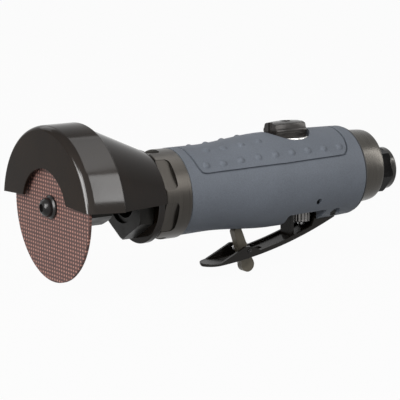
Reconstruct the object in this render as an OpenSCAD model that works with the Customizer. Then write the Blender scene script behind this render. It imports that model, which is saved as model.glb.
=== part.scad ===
// Hand-held pneumatic cut-off tool with an abrasive wheel, a turning hood
// guard, a vane motor, a composite grip and a squeeze lever with a lock.
// The origin is the centre of the air inlet's mouth. +X points out of the
// inlet, +Z is up, and stations (x_...) are counted from the wheel's front face.

/* [Cutting wheel] */
// Diameter of the abrasive wheel
wheel_d = 76.2; // [70:0.1:80]
// Thickness of the abrasive wheel
wheel_t = 1.6; // [1:0.1:2.5]
// Diameter of the wheel's bore
wheel_bore_d = 9.6; // [9:0.1:11]
// Diameter of the washer that clamps the wheel
washer_d = 12; // [11:0.1:20]
// Thickness of the washer at its bore
washer_t = 1.8; // [1:0.1:3]
// Diameter of the wheel screw's head
screw_head_d = 9.6; // [8:0.1:11]
// Height of the wheel screw's head
screw_head_h = 4.2; // [2:0.1:5]
// Diameter of the wheel screw's shank
screw_d = 6; // [5:0.1:7]
// Length of the wheel screw's shank under the washer
screw_len = 12; // [9:0.5:13]
// Width across flats of the screw's hex socket
socket_af = 4; // [3:0.5:5]

/* [Drive arbor] */
// Length of the arbor behind the wheel's front face
arbor_len = 30; // [27:0.5:33]
// Diameter of the arbor's wheel flange
arbor_flange_d = 24.4; // [20:0.2:30]
// Thickness of the arbor's wheel flange
arbor_flange_t = 3.4; // [2:0.1:5]
// Diameter of the neck behind the flange
arbor_neck_d = 17; // [14:0.5:20]
// Width across flats of the arbor's hex
arbor_af = 21; // [18:0.5:24]
// Length of the arbor's hex
arbor_hex_len = 20; // [15:0.5:22]

/* [Guard] */
// Running gap between the wheel and the hood at its nearest point
guard_gap = 1; // [0.8:0.1:3]
// Sheet thickness of the hood
guard_t = 1.8; // [1.2:0.1:2.4]
// Distance that the hood's own centre lies below the tool's axis
guard_drop = 3.2; // [0:0.1:4]
// Distance from the wheel's front face to the hood's front face
guard_front = 4; // [3.5:0.1:6]
// Length of the hood's round rim
guard_rim_len = 21.5; // [18:0.5:28]
// Radius of the opening in the hood's front plate
guard_window_r = 22; // [15:0.5:25]
// Height of the hood's lower edge over the tool's axis
guard_edge_z = 2.6; // [0:0.1:5]
// Distance from the turning ring's rim out to the hood's rear end
guard_tail_step = 2.6; // [2:0.1:4]
// Radius of the bend between front plate and rim
guard_bend = 2.2; // [2:0.1:6]
// Thickness of the ring that turns on the nose
guard_ring_t = 4; // [3:0.5:6]
// Radial width of that ring
guard_ring_wall = 10; // [8:0.5:12]

/* [Guard nut] */
// Distance from the wheel's front face to the nut
nut_setback = 40; // [37:0.5:43]
// Thickness of the nut
nut_t = 8; // [6:0.5:10]
// Wall of the nut across its flats
nut_wall = 4.5; // [3:0.5:6]
// Opening in the nut's front lip, as a share of the nose tube
nut_mouth_share = 0.907; // [0.75:0.01:0.95]
// Thickness of the nut's front lip
nut_lip_t = 1.6; // [1:0.1:2.5]

/* [Nose and collar] */
// Diameter of the nose tube, as a share of the motor's diameter
nose_tube_share = 0.7254; // [0.68:0.01:0.75]
// Bore of the nose tube, as a share of the tube's diameter
nose_bore_share = 0.714; // [0.6:0.01:0.78]
// Diameter of the nose behind the guard, as a share of the motor's diameter
nose_neck_share = 0.855; // [0.82:0.01:0.9]
// Wall of the clamp collar round the motor
collar_wall = 3.9; // [3.5:0.1:6]
// Length of the clamp collar outside the grip
collar_len = 15.3; // [13:0.1:18]
// Length of the collar's wrench flats
collar_hex_len = 7.3; // [5:0.1:9]
// Wall of the clamp collar under its wrench flats
collar_flat_wall = 2; // [1.6:0.1:3]
// Turn of the collar's flats about the tool's axis
collar_turn = 23; // [0:1:59]
// Length of the collar's threaded spigot
spigot_len = 8; // [5:0.5:12]

/* [Motor] */
// Diameter of the motor pieces inside the grip
motor_d = 38.6; // [36:0.1:39]
// Length of the rotor's body, as a share of the grip
rotor_len_share = 0.36; // [0.3:0.01:0.38]
// Diameter of the rotor's body, as a share of the motor
rotor_share = 0.7254; // [0.68:0.01:0.75]
// Diameter of the rotor's front shaft, as a share of the motor
shaft_share = 0.311; // [0.27:0.001:0.33]
// Diameter of the rotor's rear journal, as a share of the motor
journal_share = 0.207; // [0.18:0.001:0.23]
// Diameter of the cylinder's eccentric bore, as a share of the motor
chamber_share = 0.84; // [0.82:0.01:0.85]
// Upward offset of the eccentric bore, as a share of the motor
chamber_shift_share = 0.049; // [0.04:0.001:0.055]
// Number of vanes
vane_count = 5; // [4:1:7]
// Thickness of a vane
vane_t = 2; // [1.5:0.1:2.5]
// Radial depth of a vane, as a share of the rotor's diameter
vane_share = 0.232; // [0.18:0.01:0.25]
// Thickness of the end plates
plate_t = 5; // [4:0.5:6]

/* [Bearings] */
// Outer diameter of the front bearing, as a share of the motor
front_bearing_share = 0.7254; // [0.68:0.01:0.75]
// Width of the front bearing
front_bearing_w = 8; // [7:0.5:9]
// Outer diameter of the rear bearing, as a share of the motor
rear_bearing_share = 0.57; // [0.52:0.01:0.62]
// Width of the rear bearing
rear_bearing_w = 7; // [6:0.5:8]
// Number of balls in a bearing
ball_count = 8; // [6:1:8]

/* [Grip] */
// Length of the grip from the collar to the exhaust ring
grip_len = 109.4; // [105:0.1:120]
// Wall of the grip round the motor at the collar
grip_front_wall = 3.5; // [3.3:0.1:5]
// Wall of the grip round the motor at its waist
grip_waist_wall = 3.3; // [3:0.1:5]
// Wall of the grip beyond the motor's radius at its belly
grip_belly_wall = 5.9; // [4.5:0.1:7]
// Wall of the grip beyond the motor's radius at its rear end
grip_tail_wall = 4.7; // [4.3:0.1:5.5]
// Height of the grip's own axis over the tool's axis at the collar
grip_rise = 0.55; // [0:0.05:0.7]
// Upward slope of the grip's own axis in degrees
grip_tilt = 0.65; // [0:0.05:0.8]
// Depth of the groove round the top panel
groove_depth = 0.7; // [0.3:0.1:1]
// Width of the groove round the top panel
groove_w = 0.9; // [0.5:0.1:1.5]
// Height of the top panel's lower edge, as a share of the grip's belly
panel_share = 0.492; // [0.4:0.01:0.6]
// Spacing of the grip nubs, as a share of the grip's length
nub_pitch_share = 0.0949; // [0.08:0.001:0.1]
// Number of nubs in the long row on each side
nub_count = 9; // [5:1:9]
// Number of nubs in the short row on each side
short_nub_count = 4; // [2:1:4]
// Radius of the ball that forms a nub
nub_ball_r = 3.4; // [2.5:0.1:5]
// Height of a nub over the grip
nub_height = 0.55; // [0.2:0.05:0.9]

/* [Exhaust and inlet] */
// Length of the exhaust ring
ring_len = 15.3; // [13:0.1:18]
// Step in from the grip's rear end to the exhaust ring
ring_step = 4.7; // [3:0.1:5.5]
// Fall of the exhaust ring's radius along its length
ring_taper = 0.6; // [0.2:0.1:1.5]
// Width across flats of the inlet bushing
inlet_af = 22.4; // [20:0.2:24]
// Length of the inlet bushing's hex
inlet_hex_len = 11.7; // [9:0.1:13]
// Turn of the inlet bushing's hex about the tool's axis
inlet_turn = 43; // [0:1:59]
// Length of the inlet bushing's round end
inlet_end_len = 3.3; // [2.5:0.1:5]
// Diameter of the inlet bushing's round end
inlet_end_d = 23; // [21:0.2:24]
// Diameter of the threaded body inside the grip
inlet_body_d = 20; // [18:0.2:21]
// Length of that body inside the grip
inlet_body_len = 6; // [4:0.5:8]
// Wall diameter of the inlet's threaded hole
inlet_bore_d = 11.3; // [10:0.1:12]
// Depth of the inlet's threaded hole
inlet_depth = 15; // [10:0.5:16]

/* [Lever] */
// Place of the lever's pin along the grip, as a share of its length
lever_pin_share = 0.8656; // [0.84:0.005:0.89]
// Depth of the lever's pin inside the grip's rear radius
lever_pin_inset = 5.6; // [5.4:0.1:6.5]
// Diameter of the lever's pin
lever_pin_d = 3.7; // [3:0.1:4]
// Length of the lever in front of its pin, as a share of the grip
lever_share = 0.686; // [0.66:0.002:0.75]
// Width of the lever
lever_w = 16; // [14:0.2:17]
// Sheet thickness of the lever
lever_t = 1.5; // [1:0.1:2]
// Depth of the lever's tip under its pin
lever_drop = 22.2; // [21.6:0.1:25]
// Sag of the lever's bow under a straight line
lever_bow = 2.9; // [1.5:0.1:4]
// Height of the lever's side walls
lever_wall = 2.6; // [2.2:0.1:4]

/* [Lock] */
// Distance from the lever's pin forward to the lock's pin, as a share of the grip
lock_reach_share = 0.4598; // [0.44:0.005:0.48]
// Height of the lock's pin over the lever's underside
lock_pin_h = 4.1; // [3.9:0.1:4.5]
// Diameter of the lock's pin
lock_pin_d = 2.4; // [2:0.1:2.6]
// Height of the lock's arm over its pin
lock_arm_h = 11; // [10.6:0.1:11.2]
// Depth of the lock's arm along the tool at its top
lock_arm_w = 4.3; // [3.5:0.1:4.6]
// Thickness of the lock across the tool
lock_t = 4.4; // [3.5:0.1:4.6]
// Radius of the lock's finger tab
lock_tab_r = 3.9; // [3.5:0.1:4.4]
// Drop of the finger tab's centre under the lock's pin
lock_tab_drop = 8.6; // [7.5:0.1:8.8]

/* [Throttle valve] */
// Distance from the lever's pin forward to the valve
valve_reach = 11.2; // [10.5:0.1:12]
// Diameter of the valve bush's fluted head
bush_d = 11; // [10:0.2:11.6]
// Diameter of the valve bush's body
bush_body_d = 10; // [9:0.2:10.2]
// Diameter of the plunger
plunger_d = 4.4; // [4:0.1:4.6]
// Diameter of the cross pin that holds the bush
cross_pin_d = 3.2; // [2.5:0.1:3.2]
// Depth of the cross pin under the tool's axis, as a share of the grip's belly
cross_pin_share = 0.381; // [0.36:0.005:0.42]

/* [Regulator knob] */
// Place of the knob along the grip, as a share of its length
knob_share = 0.6664; // [0.65:0.005:0.68]
// Length of the knob's grip
knob_len = 19.4; // [16:0.2:20]
// Width of the knob's grip
knob_w = 13.4; // [11:0.2:14]
// Height of the knob's top over the grip's belly radius
knob_rise = 5.6; // [4:0.1:8]
// Diameter of the knob's round base
knob_base_d = 25; // [23.5:0.2:25.4]
// Diameter of the pocket round the knob
knob_pocket_d = 26.4; // [26:0.1:28]
// Depth of the knob's pocket under the grip's belly radius
knob_pocket_depth = 3.6; // [3:0.1:4.5]
// Diameter of the regulator's spool
spool_d = 11; // [10:0.2:11.4]

/* [Hidden] */
$fn = 72;

// Overrun of every cut past the face that it leaves
over = 1;
// Radial clearance of a running fit
run_fit = 0.05;
// Radial clearance of a seated or threaded fit
seat_fit = 0.03;
// Gap between a part that turns and the face beside it
turn_gap = 0.05;
// Half the angle of one side of a hexagon
hex_half = 30;
// Small bevel on turned edges
bevel = 0.6;

// Radial sizes that follow the motor
motor_r = motor_d / 2;
rotor_d = rotor_share * motor_d;
shaft_d = shaft_share * motor_d;
journal_d = journal_share * motor_d;
chamber_d = chamber_share * motor_d;
chamber_shift = chamber_shift_share * motor_d;
vane_depth = vane_share * rotor_d;
front_bearing_d = front_bearing_share * motor_d;
rear_bearing_d = rear_bearing_share * motor_d;
nose_tube_d = nose_tube_share * motor_d;
nose_bore_d = nose_bore_share * nose_tube_d;
nose_neck_d = nose_neck_share * motor_d;
nut_af = nose_tube_d + 2 * nut_wall;
nut_mouth_d = nut_mouth_share * nose_tube_d;
guard_ring_d = nose_tube_d + 2 * guard_ring_wall;
guard_tail_r = guard_ring_d / 2 + guard_tail_step;
guard_web_inset = 7;
guard_web_r = guard_ring_d / 2 - guard_web_inset;
collar_d = motor_d + 2 * collar_wall;
collar_af = motor_d + 2 * collar_flat_wall;
grip_front_r = motor_r + grip_front_wall;
grip_waist_r = motor_r + grip_waist_wall;
grip_belly_r = motor_r + grip_belly_wall;
grip_tail_r = motor_r + grip_tail_wall;
ring_r = grip_tail_r - ring_step;
ring_tail_r = ring_r - ring_taper;

// Lengths that follow the grip
rotor_len = rotor_len_share * grip_len;
nub_pitch = nub_pitch_share * grip_len;
lever_pin_u = lever_pin_share * grip_len;
lever_len = lever_share * grip_len;
lock_reach = lock_reach_share * grip_len;
knob_u = knob_share * grip_len;

// Heights that follow the grip's radius
panel_z = panel_share * grip_belly_r;
lever_pin_z = grip_tail_r - lever_pin_inset;
cross_pin_z = cross_pin_share * grip_belly_r;
knob_top_z = grip_belly_r + knob_rise;
knob_floor_z = grip_belly_r - knob_pocket_depth;

// Stations along the tool's axis, counted from the wheel's front face
x_arbor_face = wheel_t;
x_ring = nut_setback + nut_t + turn_gap;
x_shoulder = x_ring + guard_ring_t + turn_gap;
collar_setback = 1.2;
x_collar = x_shoulder + collar_setback;
x_seam = x_collar + collar_len;
x_tail = x_seam + grip_len;
x_hex = x_tail + ring_len;
x_mouth = x_hex + inlet_hex_len + inlet_end_len;
x_lever = x_seam + lever_pin_u;
x_lock = x_lever - lock_reach;
x_valve = x_lever - valve_reach;
x_knob = x_seam + knob_u;

// Hood outline, about its own centre
guard_r = wheel_d / 2 + guard_gap + guard_t + guard_drop;
x_guard = -guard_front;
x_rim_rear = x_guard + guard_rim_len;
guard_shoulder = 1.6;
guard_rear_bend = 2.2;
guard_rear_angle = 30;
bend_steps = 6;

// Wheel screw and washer
washer_rim_t = 1;
washer_land_d = 10;
socket_depth_share = 0.55;
head_dome_share = 0.96;
head_round_shares = [0, 0.2, 0.4, 0.6, 0.8, 0.92, 1];
wheel_edge = 0.15;
pilot_end_gap = 0.3;
arbor_socket_len = 12;

// Motor stations
nose_wall = 5;
collar_lip_t = 5;
x_flange = x_collar + collar_lip_t + seat_fit;
spigot_wall = 1.5;
flat_count = 6;
flat_turn_share = 0.5;
flat_corner_r = 2.6;
flat_width_share = 0.94;
x_bearing_f = x_shoulder + nose_wall;
x_boss = x_bearing_f + front_bearing_w;
x_plate_f = x_seam + seat_fit;
x_cylinder = x_plate_f + plate_t;
rotor_end_gap = 0.3;
cylinder_len = rotor_len + rotor_end_gap * 2;
x_plate_r = x_cylinder + cylinder_len;
x_bearing_r = x_plate_r + plate_t;
boss_wall = 3;
rear_boss_r = rear_bearing_d / 2 + boss_wall;
x_motor_end = x_bearing_r + rear_bearing_w;
cylinder_pin_d = 2.4;
cylinder_pin_r_share = 0.885;
cylinder_pin_turn = 20;
shaft_hole_gap = 0.4;
race_relief = 4;
journal_tail = 1;
slot_root_gap = 0.4;
port_count = 6;
port_w = 2.4;
port_row_share = 0.5;

// Bearing proportions, as shares of the space between bore and rim
race_share = 0.3;
front_bore_d = shaft_d + 2 * seat_fit;
rear_bore_d = journal_d + 2 * seat_fit;
ball_share = 0.56;
cage_t_share = 0.16;
ball_gap = 0.05;
cage_w_share = 0.76;

// Grip curve
waist_u_share = 0.165;
belly_u_share = 0.53;
waist_u = waist_u_share * grip_len;
belly_u = belly_u_share * grip_len;
grip_steps = 9;
grip_end_bevel = 0.8;
passage_d = 9;
passage_share = 0.1;
passage_z = passage_share * grip_belly_r;
feed_d = 6;
feed_share = 0.556;
feed_z = feed_share * grip_belly_r;
pocket_u_shares = [0.595, 0.566, 0.797];
pocket_depth = 9.2;
pocket_ceiling_z = grip_belly_r - pocket_depth;
pocket_top_step = 0.6;
lever_slot_gap = 0.4;
lever_slot_top = 5;
lever_slot_rear = 7.6;
lever_pin_sink = 2;
lever_sink_d = 6.2;
lock_slot_top_gap = 13.9;
lock_slot_front_gap = 1.5;
lock_slot_rear = 12.4;
lock_slot_side_gap = 1.2;
panel_front_u_shares = [0.101, 0.066, 0.058, 0.052];
panel_front_z_shares = [0.925, 1.13, 1.4, 2];
panel_rear_u_shares = [0.885, 0.915, 0.928, 0.932];
panel_rear_z_shares = [1.09, 1.36, 1.7, 2.1];
panel_top_z = 2 * grip_belly_r;
nub_u_share = 0.1115;
nub_angle = 40.5;
nub_angle_step = 0.05;
short_nub_u_share = 0.161;
short_nub_angle = 67.6;
short_nub_angle_step = -0.6;

// Exhaust ring, felt and inlet
ring_steps = 6;
ring_land_share = 0.08;
ring_end_angle = 8;
ring_shell = 1.7;
ring_cavity_r = ring_tail_r - ring_shell;
ring_wall = 4;
felt_gap = 0.3;
exhaust_slot_count = 8;
exhaust_slot_w = 3.2;
exhaust_turn_share = 0.5;
exhaust_slot_shares = [0.86, 0.965];
exhaust_slot_in_r = exhaust_slot_shares[0] * ring_cavity_r;
exhaust_slot_out_r = exhaust_slot_shares[1] * ring_cavity_r;
inlet_lip_t = 1.3;
inlet_throat_step = 1;
inlet_throat_d = inlet_bore_d - inlet_throat_step;
inlet_lip_step = 1.3;
inlet_lip_d = inlet_throat_d - inlet_lip_step;
screen_t = 1;
screen_hole_d = 1.2;
screen_rings = 3;

// Lever curve: an arc through a front and a rear point of its underside
lever_tip_r = lever_w / 2;
arc_front_x = x_lever - lever_len + lever_tip_r;
arc_front_z = -lever_pin_z - lever_drop;
lever_heel = 3;
heel_depth = 4.9;
arc_rear_x = x_lever + lever_heel;
arc_rear_z = -lever_pin_z - heel_depth;
arc_dx = arc_rear_x - arc_front_x;
arc_dz = arc_rear_z - arc_front_z;
arc_chord = sqrt(arc_dx * arc_dx + arc_dz * arc_dz);
arc_r = arc_chord * arc_chord / (8 * lever_bow) + lever_bow / 2;
arc_x = (arc_front_x + arc_rear_x) / 2 - arc_dz / arc_chord * (arc_r - lever_bow);
arc_z = (arc_front_z + arc_rear_z) / 2 + arc_dx / arc_chord * (arc_r - lever_bow);
function floor_z(x) = arc_z - sqrt(arc_r * arc_r - (x - arc_x) * (x - arc_x));
ear_front = 18;
ear_flat = 1.5;
ear_rear = 5.3;
ear_top = 2.3;
rear_ear_r = 3.6;
heel_end = 5.4;
tab_reach = 21.4;
tab_w = 10.4;
tab_top_gap = 4;
lock_window_front = 14.5;
lock_window_rear = 13.5;
lock_window_gap = 0.9;

// Lock and its spring
lock_z = floor_z(x_lock) + lock_pin_h;
lock_lean = 1.5;
lock_base_front = 3;
lock_arm_round = 3.2;
lock_tab_shift = 2.8;
lock_hub_r = 2.9;
lock_web_share = 0.9;
lock_pin_head = 0.5;
spring_wire_d = 0.7;
lock_spring_r = 1.85;
lock_spring_pitch = 1.12;
lock_spring_turns = 2.75;
lock_spring_side_gap = 0.25;
lock_spring_leg = 5.5;
rings_per_turn = 8;
tube_sides = 6;

// Valve stack, heights over the tool's axis
valve_ceiling_z = -pocket_ceiling_z;
bush_head_h = 7.8;
bush_top_share = 0.119;
bush_top_z = -bush_top_share * grip_belly_r;
flute_count = 14;
flute_r = 0.8;
plunger_lift_gap = 0.15;
plunger_tip_angle = 75;
lever_floor_slope = asin((x_valve - arc_x) / arc_r);
plunger_z = floor_z(x_valve) + (lever_t + plunger_d / 2) / cos(lever_floor_slope)
    - plunger_d / 2 + plunger_lift_gap;
poppet_d = 8.6;
poppet_t = 1.8;
poppet_stem_d = 3.4;
poppet_stem_len = 4.2;
chamber_top_share = 0.357;
chamber_top_z = chamber_top_share * grip_belly_r;
valve_bore_d = 9.8;
valve_spring_r = 3.1;
valve_spring_wire_d = 0.9;
valve_spring_turns = 4;
valve_spring_end_gap = 0.1;
cross_pin_shift = 4.3;
cross_pin_inset = 3.4;
seal_r = 0.75;
bush_seal_drop = 2.6;
bush_seal_z = bush_top_z - bush_seal_drop;

// Knob and spool
knob_base_t = 1.6;
knob_crown = 1.2;
knob_bulge = 1;
knob_floor_gap = 0.15;
knob_notch_r = 1.5;
spool_bottom_share = 0.4365;
spool_bottom_z = spool_bottom_share * grip_belly_r;
spool_foot_gap = 0.4;
spool_port_d = 5;
spool_seal_drop = 2.6;
spool_seal_z = knob_floor_z - spool_seal_drop;
knob_screw_d = 3;
knob_screw_head_d = 5.4;
knob_screw_head_h = 2.6;
knob_screw_len = 9;
knob_screw_sink = 0.5;
knob_screw_end_gap = 0.3;
knob_socket_af = 2.5;

// Places children, drawn in stations along the tool, in the part's frame
module from_wheel() {
    translate([-x_mouth, 0, 0]) children();
}

// Lays a shape drawn along +Z on the tool's axis, starting at a station
module on_axis(x) {
    from_wheel() translate([x, 0, 0]) rotate([0, 90, 0]) children();
}

// Revolves an outline of [station, radius] points about the tool's axis
module turned(outline) {
    on_axis(0) rotate_extrude() polygon([for (p = outline) [p[1], p[0]]]);
}

// A rod on the tool's axis
module rod(x, len, d) {
    on_axis(x) cylinder(h = len, d = d);
}

// A flat-sided prism on the tool's axis, by its width across flats
module hex_rod(x, len, af, turn = 0) {
    on_axis(x) rotate([0, 0, turn]) cylinder(h = len, d = af / cos(hex_half), $fn = 6);
}

// A side outline of [station, height] points, drawn out across the tool
module across(outline, width) {
    from_wheel() rotate([90, 0, 0]) linear_extrude(height = width, center = true) polygon(outline);
}

// A rod across the tool at a station and a height
module cross_rod(x, z, d, len) {
    from_wheel() translate([x, 0, z]) rotate([90, 0, 0]) cylinder(h = len, d = d, center = true);
}

// An upright rod between two heights
module post(x, z0, z1, d) {
    from_wheel() translate([x, 0, z0]) cylinder(h = z1 - z0, d = d);
}

// Points of an arc from one angle to another
function arc_points(cx, cy, r, a0, a1, steps) =
    [for (i = [0 : steps]) let (a = a0 + (a1 - a0) * i / steps) [cx + r * cos(a), cy + r * sin(a)]];

// A tube along a path, with one ring of sides round each point
function unit(v) = v / norm(v);
function tangent(path, i) =
    unit(path[min(i + 1, len(path) - 1)] - path[max(i - 1, 0)]);
function ring_point(path, i, r, k, axis) =
    let (t = tangent(path, i), n = unit(cross(t, axis)), b = cross(t, n), a = 360 * k / tube_sides)
    path[i] + r * (cos(a) * n + sin(a) * b);
module tube(path, r, axis) {
    last = len(path) - 1;
    points = [for (i = [0 : last]) for (k = [0 : tube_sides - 1]) ring_point(path, i, r, k, axis)];
    walls = [for (i = [0 : last - 1]) for (k = [0 : tube_sides - 1]) for (half = [0, 1])
        let (n = (k + 1) % tube_sides, a = i * tube_sides, b = a + tube_sides)
        half == 0 ? [a + k, b + k, b + n] : [a + k, b + n, a + n]];
    ends = [for (k = [1 : tube_sides - 2]) for (half = [0, 1])
        let (b = last * tube_sides)
        half == 0 ? [0, k, k + 1] : [b, b + k + 1, b + k]];
    polyhedron(points, concat(walls, ends));
}

// Least clear gap between a tube's turns, measured on its path points
function least_gap(path, r) =
    min([for (i = [0 : len(path) - 1]) for (j = [i + rings_per_turn - 2 : len(path) - 1])
        if (j > i + 1) norm(path[i] - path[j])]) - 2 * r;

// Abrasive wheel
module cutoff_wheel() color("#7a4a3c") {
    r = wheel_d / 2;
    b = wheel_bore_d / 2;
    turned([[0, b], [0, r - wheel_edge], [wheel_edge, r], [wheel_t - wheel_edge, r],
        [wheel_t, r - wheel_edge], [wheel_t, b]]);
}

// Button-head screw that holds the wheel
module wheel_screw() color("#2b2b2d") {
    x_head = -washer_t;
    r = screw_head_d / 2;
    dome = [for (s = head_round_shares) [x_head - screw_head_h * s, r * sqrt(1 - s * s * head_dome_share)]];
    difference() {
        union() {
            turned(concat([[x_head, 0]], dome, [[x_head - screw_head_h, 0]]));
            rod(x_head, washer_t + screw_len, screw_d);
        }
        hex_rod(x_head - screw_head_h - over, screw_head_h * socket_depth_share + over, socket_af);
    }
}

// Dished washer between screw and wheel
module outer_flange() color("#3a3a3c") {
    turned([[0, screw_d / 2 + seat_fit], [0, washer_d / 2], [-washer_rim_t, washer_d / 2],
        [-washer_t, washer_land_d / 2], [-washer_t, screw_d / 2 + seat_fit]]);
}

// Arbor with the wheel's pilot, its flange, a hex and the rotor's socket
module drive_arbor() color("#4a4a4c") {
    x_hex_front = arbor_len - arbor_hex_len;
    hex_r = arbor_af / 2 / cos(hex_half);
    difference() {
        union() {
            rod(pilot_end_gap, wheel_t, wheel_bore_d - 2 * seat_fit);
            turned([[x_arbor_face, 0], [x_arbor_face, arbor_flange_d / 2 - bevel],
                [x_arbor_face + bevel, arbor_flange_d / 2],
                [x_arbor_face + arbor_flange_t, arbor_flange_d / 2],
                [x_arbor_face + arbor_flange_t, arbor_neck_d / 2], [x_hex_front + bevel, arbor_neck_d / 2],
                [x_hex_front + bevel, 0]]);
            intersection() {
                hex_rod(x_hex_front, arbor_hex_len, arbor_af);
                turned([[x_hex_front, 0], [x_hex_front, hex_r - bevel], [x_hex_front + bevel, hex_r],
                    [arbor_len - 2 * bevel, hex_r], [arbor_len, hex_r - 2 * bevel], [arbor_len, 0]]);
            }
        }
        rod(-over, screw_len + 2 * over, screw_d + 2 * seat_fit);
        rod(arbor_len - arbor_socket_len, arbor_socket_len + over, shaft_d + 2 * seat_fit);
    }
}

// Rotor with its two shafts and the slots for the vanes
module rotor() color("#8d8f93") {
    x_body = x_cylinder + rotor_end_gap;
    x_front = arbor_len - arbor_socket_len + seat_fit;
    slot_w = vane_t + 2 * run_fit;
    difference() {
        turned([[x_front, 0], [x_front, shaft_d / 2 - bevel], [x_front + bevel, shaft_d / 2],
            [x_body, shaft_d / 2], [x_body, rotor_d / 2], [x_body + rotor_len, rotor_d / 2],
            [x_body + rotor_len, journal_d / 2], [x_motor_end + journal_tail, journal_d / 2],
            [x_motor_end + journal_tail, 0]]);
        for (i = [0 : vane_count - 1]) {
            on_axis(x_body - over) rotate([0, 0, 360 * i / vane_count])
                translate([rotor_d / 2 - vane_depth - slot_root_gap, -slot_w / 2, 0])
                cube([vane_depth + slot_root_gap + over, slot_w, rotor_len + 2 * over]);
        }
    }
}

// Vanes, drawn home in their slots
module rotor_vanes() color("#6b4a2a") {
    x_body = x_cylinder + rotor_end_gap;
    for (i = [0 : vane_count - 1]) {
        on_axis(x_body) rotate([0, 0, 360 * i / vane_count])
            translate([rotor_d / 2 - vane_depth, -vane_t / 2, 0])
            cube([vane_depth - run_fit, vane_t, rotor_len]);
    }
}

// Radii of a ball bearing between a bore and an outer diameter
function race_gap(bore, od) = (od - bore) / 2;
function pitch_r(bore, od) = (od + bore) / 4;
function ball_r(bore, od) = race_gap(bore, od) * ball_share / 2;

module groove_ball_track(x, w, bore, od) {
    on_axis(x + w / 2) rotate_extrude()
        translate([pitch_r(bore, od), 0]) circle(r = ball_r(bore, od) + ball_gap);
}
module outer_race(x, w, bore, od) {
    difference() {
        rod(x, w, od);
        rod(x - over, w + 2 * over, od - 2 * race_gap(bore, od) * race_share);
        groove_ball_track(x, w, bore, od);
    }
}
module inner_race(x, w, bore, od) {
    difference() {
        rod(x, w, bore + 2 * race_gap(bore, od) * race_share);
        rod(x - over, w + 2 * over, bore);
        groove_ball_track(x, w, bore, od);
    }
}
module ball_set(x, w, bore, od) {
    for (i = [0 : ball_count - 1]) {
        on_axis(x + w / 2) rotate([0, 0, 360 * i / ball_count])
            translate([pitch_r(bore, od), 0, 0]) sphere(r = ball_r(bore, od), $fn = 32);
    }
}
module ball_cage(x, w, bore, od) {
    half = race_gap(bore, od) * cage_t_share / 2;
    cage_w = w * cage_w_share;
    difference() {
        rod(x + (w - cage_w) / 2, cage_w, 2 * (pitch_r(bore, od) + half));
        rod(x - over, w + 2 * over, 2 * (pitch_r(bore, od) - half));
        for (i = [0 : ball_count - 1]) {
            on_axis(x + w / 2) rotate([0, 0, 360 * i / ball_count]) rotate([0, 90, 0])
                cylinder(h = od, r = ball_r(bore, od) + ball_gap);
        }
    }
}

// Front bearing in the nose
module front_bearing_outer() color("#b9bcc0")
    outer_race(x_bearing_f + seat_fit, front_bearing_w - 2 * seat_fit, front_bore_d, front_bearing_d);
module front_bearing_inner() color("#b9bcc0")
    inner_race(x_bearing_f + seat_fit, front_bearing_w - 2 * seat_fit, front_bore_d, front_bearing_d);
module front_bearing_balls() color("#d7d9dc")
    ball_set(x_bearing_f, front_bearing_w, front_bore_d, front_bearing_d);
module front_bearing_cage() color("#a9893f")
    ball_cage(x_bearing_f, front_bearing_w, front_bore_d, front_bearing_d);

// Rear bearing in the rear end plate
module rear_bearing_outer() color("#b9bcc0")
    outer_race(x_bearing_r + seat_fit, rear_bearing_w - 2 * seat_fit, rear_bore_d, rear_bearing_d);
module rear_bearing_inner() color("#b9bcc0")
    inner_race(x_bearing_r + seat_fit, rear_bearing_w - 2 * seat_fit, rear_bore_d, rear_bearing_d);
module rear_bearing_balls() color("#d7d9dc")
    ball_set(x_bearing_r, rear_bearing_w, rear_bore_d, rear_bearing_d);
module rear_bearing_cage() color("#a9893f")
    ball_cage(x_bearing_r, rear_bearing_w, rear_bore_d, rear_bearing_d);

// Hole for the pin that lines up cylinder and end plates
module pin_line(d, x0, x1) {
    on_axis(x0) rotate([0, 0, cylinder_pin_turn]) translate([motor_r * cylinder_pin_r_share, 0, 0])
        cylinder(h = x1 - x0, d = d);
}

// Front end plate, with a boss that holds the bearing in the nose
module front_end_plate() color("#a4a6a8") {
    boss_r = front_bearing_d / 2 - seat_fit;
    difference() {
        turned([[x_boss + seat_fit, shaft_d / 2 + shaft_hole_gap + race_relief],
            [x_boss + seat_fit, boss_r], [x_plate_f, boss_r], [x_plate_f, motor_r],
            [x_cylinder, motor_r], [x_cylinder, shaft_d / 2 + shaft_hole_gap],
            [x_plate_f, shaft_d / 2 + shaft_hole_gap]]);
        pin_line(cylinder_pin_d + 2 * seat_fit, x_cylinder - plate_t / 2, x_cylinder + over);
    }
}

// Motor cylinder with its eccentric bore and a row of exhaust ports
module motor_cylinder() color("#a4a6a8") {
    difference() {
        rod(x_cylinder, cylinder_len, motor_d);
        on_axis(x_cylinder - over) translate([-chamber_shift, 0, 0])
            cylinder(h = cylinder_len + 2 * over, d = chamber_d);
        pin_line(cylinder_pin_d + 2 * seat_fit, x_cylinder - over, x_plate_r + over);
        for (i = [0 : port_count - 1]) {
            post(x_cylinder + cylinder_len * (i + port_row_share) / port_count, 0, motor_r + over, port_w);
        }
    }
}

// Rear end plate with the rear bearing's boss
module rear_end_plate() color("#a4a6a8") {
    difference() {
        turned([[x_plate_r, 0], [x_plate_r, motor_r], [x_bearing_r, motor_r], [x_bearing_r, rear_boss_r],
            [x_motor_end, rear_boss_r], [x_motor_end, 0]]);
        rod(x_bearing_r, rear_bearing_w + over, rear_bearing_d + 2 * seat_fit);
        rod(x_plate_r - over, plate_t + 2 * over, journal_d + 2 * shaft_hole_gap);
        pin_line(cylinder_pin_d + 2 * seat_fit, x_plate_r - over, x_plate_r + plate_t / 2);
    }
}

// Pin through cylinder and end plates
module cylinder_pin() color("#c9cbce")
    pin_line(cylinder_pin_d, x_cylinder - plate_t / 2, x_plate_r + plate_t / 2);

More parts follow.
